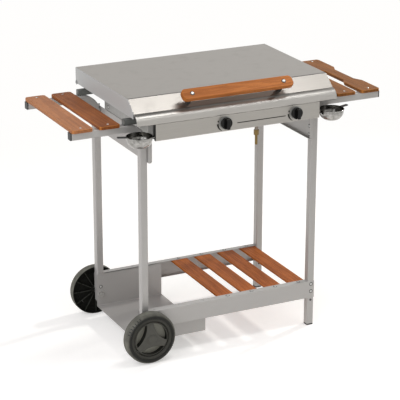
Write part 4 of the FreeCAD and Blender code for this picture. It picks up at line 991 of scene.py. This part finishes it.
# The inside of each bowl is darker than its shell: painted shade.
inside_painted_shade = normal[2].step(-0.1, 0.3).larger(1 - outward.step(-0.012, 0.0))
shell = mixed(painted_reflection_mottle, (0.262, 0.256, 0.242, 1), (0.42, 0.410, 0.393, 1))
bowl = mixed(painted_reflection_mottle, (0.10, 0.098, 0.090, 1), (0.25, 0.243, 0.228, 1))
complete(spot, {"Base Color": mixed(inside_painted_shade, shell, bowl), "Metallic": 1.0,
                "Roughness": 0.10 + 0.16 * mottle, "Normal": bump(rings * 0.5 + mottle * 0.5, 0.0004)})
wear(bowl_steel, "cup_left", "cup_right")
wear(plug_black, "cup_tab")

# Lid: one folded stainless sheet with end plates, hemmed in front and rolled round the hinge rod behind,
# where a thin black rim closes each end. It is brushed from end to end and has been wiped by hand.
# The dark line along the fold of the lid's brow is painted reflection.
lid_points = [point.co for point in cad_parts["lid_shell"].data.vertices]
lid_top = max(point.z for point in lid_points)
top_margin = 0.0005
brow = min(point.y for point in lid_points if point.z > lid_top - top_margin)
lid_steel = brushed_steel("lid_steel", (0.345, 0.325, 0.300, 1), (0.435, 0.410, 0.380, 1), smooth=0.33,
                          rough=0.42, end_tone=(0.535, 0.545, 0.535), end_shade=nowhere, fold=brow,
                          swirl=0.05)
wear(lid_steel, "lid_shell")


def washer(mesh, seat, way, inner, outer, height, sides=40, edge=0.0006, wall=0.6):
    """A flat ring laid on a seat that faces this way, its outer edge broken above a share of its height."""
    across = way.orthogonal().normalized()
    beside = way.cross(across)
    rings = []
    for radius, share in ((inner, 0), (outer, 0), (outer, wall), (outer - edge, 1), (inner, 1)):
        ring = []
        for i in range(sides):
            angle = math.tau * i / sides
            flat = across * math.cos(angle) + beside * math.sin(angle)
            ring.append(mesh.verts.new(seat + flat * radius + way * height * share))
        rings.append(ring)
    for k in range(len(rings)):
        for i in range(sides):
            mesh.faces.new((rings[k - 1][i - 1], rings[k - 1][i], rings[k][i], rings[k][i - 1]))


knuckle_proud = 0.0012
rim_inner = 0.0065
rim_outer = 0.0077
rim_height = 0.0010
low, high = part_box("hinge_rod")
hinge = (low + high) / 2
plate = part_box("lid_shell")[1].x - knuckle_proud
shape = bmesh.new()
for way in (Vector((-1, 0, 0)), Vector((1, 0, 0))):
    washer(shape, Vector((way.x * plate, hinge.y, hinge.z)), way, rim_inner, rim_outer, rim_height)
rims = finished("hinge_rims", shape, plug_black)
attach(rims, "lid")

# Lid handle: a bar of the same hardwood across the slope, held off it by two steel spacers. Each bolt
# head sits in a dark washer.
slope = math.radians(39.8)
slope_way = Vector((0, -math.sin(slope), math.cos(slope)))
handle_edge = (0.44, 0.145, 0.030, 1)
handle_wood = hardwood("handle_hardwood", "X", (0.255, 0.070, 0.012, 1), (0.565, 0.192, 0.042, 1),
                       handle_edge, gloss=0.16, tilt=slope)
wear(handle_wood, "lid_handle")
ring_inner = 0.0044
ring_outer = 0.0078
ring_height = 0.0007
bolt_head_height = 0.0025
head_blur = 0.001
shortest_bolt = 0.04
fixings = loose_parts("lid_handle_fixings")
bolt_top = max(p.dot(slope_way) for part in fixings for p in part)
bolt_steel_and_shade, spot = begin("bolt_steel_and_shade")
risen = spot.node("ShaderNodeVectorMath", {"operation": "DOT_PRODUCT"}, {0: spot, 1: slope_way[:]}, "Value")
# Below the bolt heads, the shanks and spacers are near black: painted shade under the handle.
head_seat = bolt_top - bolt_head_height
head = risen.step(head_seat - head_blur, head_seat)
lathe = noise(spot, 500, 2.0)
tone = mixed(lathe, (0.48, 0.48, 0.46, 1), (0.68, 0.68, 0.65, 1))
complete(spot, {"Base Color": mixed(head, (0.035, 0.034, 0.031, 1), tone), "Metallic": 0.4 + 0.6 * head,
                "Roughness": 0.32 + 0.2 * lathe})
wear(bolt_steel_and_shade, "lid_handle_fixings")
shape = bmesh.new()
for part in fixings:
    heights = [p.dot(slope_way) for p in part]
    if max(heights) - min(heights) < shortest_bolt:
        continue
    low, high = box_of(part)
    middle = (low + high) / 2
    seat = middle + slope_way * (max(heights) - bolt_head_height - middle.dot(slope_way))
    washer(shape, seat, slope_way, ring_inner, ring_outer, ring_height)
washers = finished("handle_washers", shape, plug_black)
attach(washers, "lid")

# Brings the view layer up to date.
bpy.context.view_layer.update()
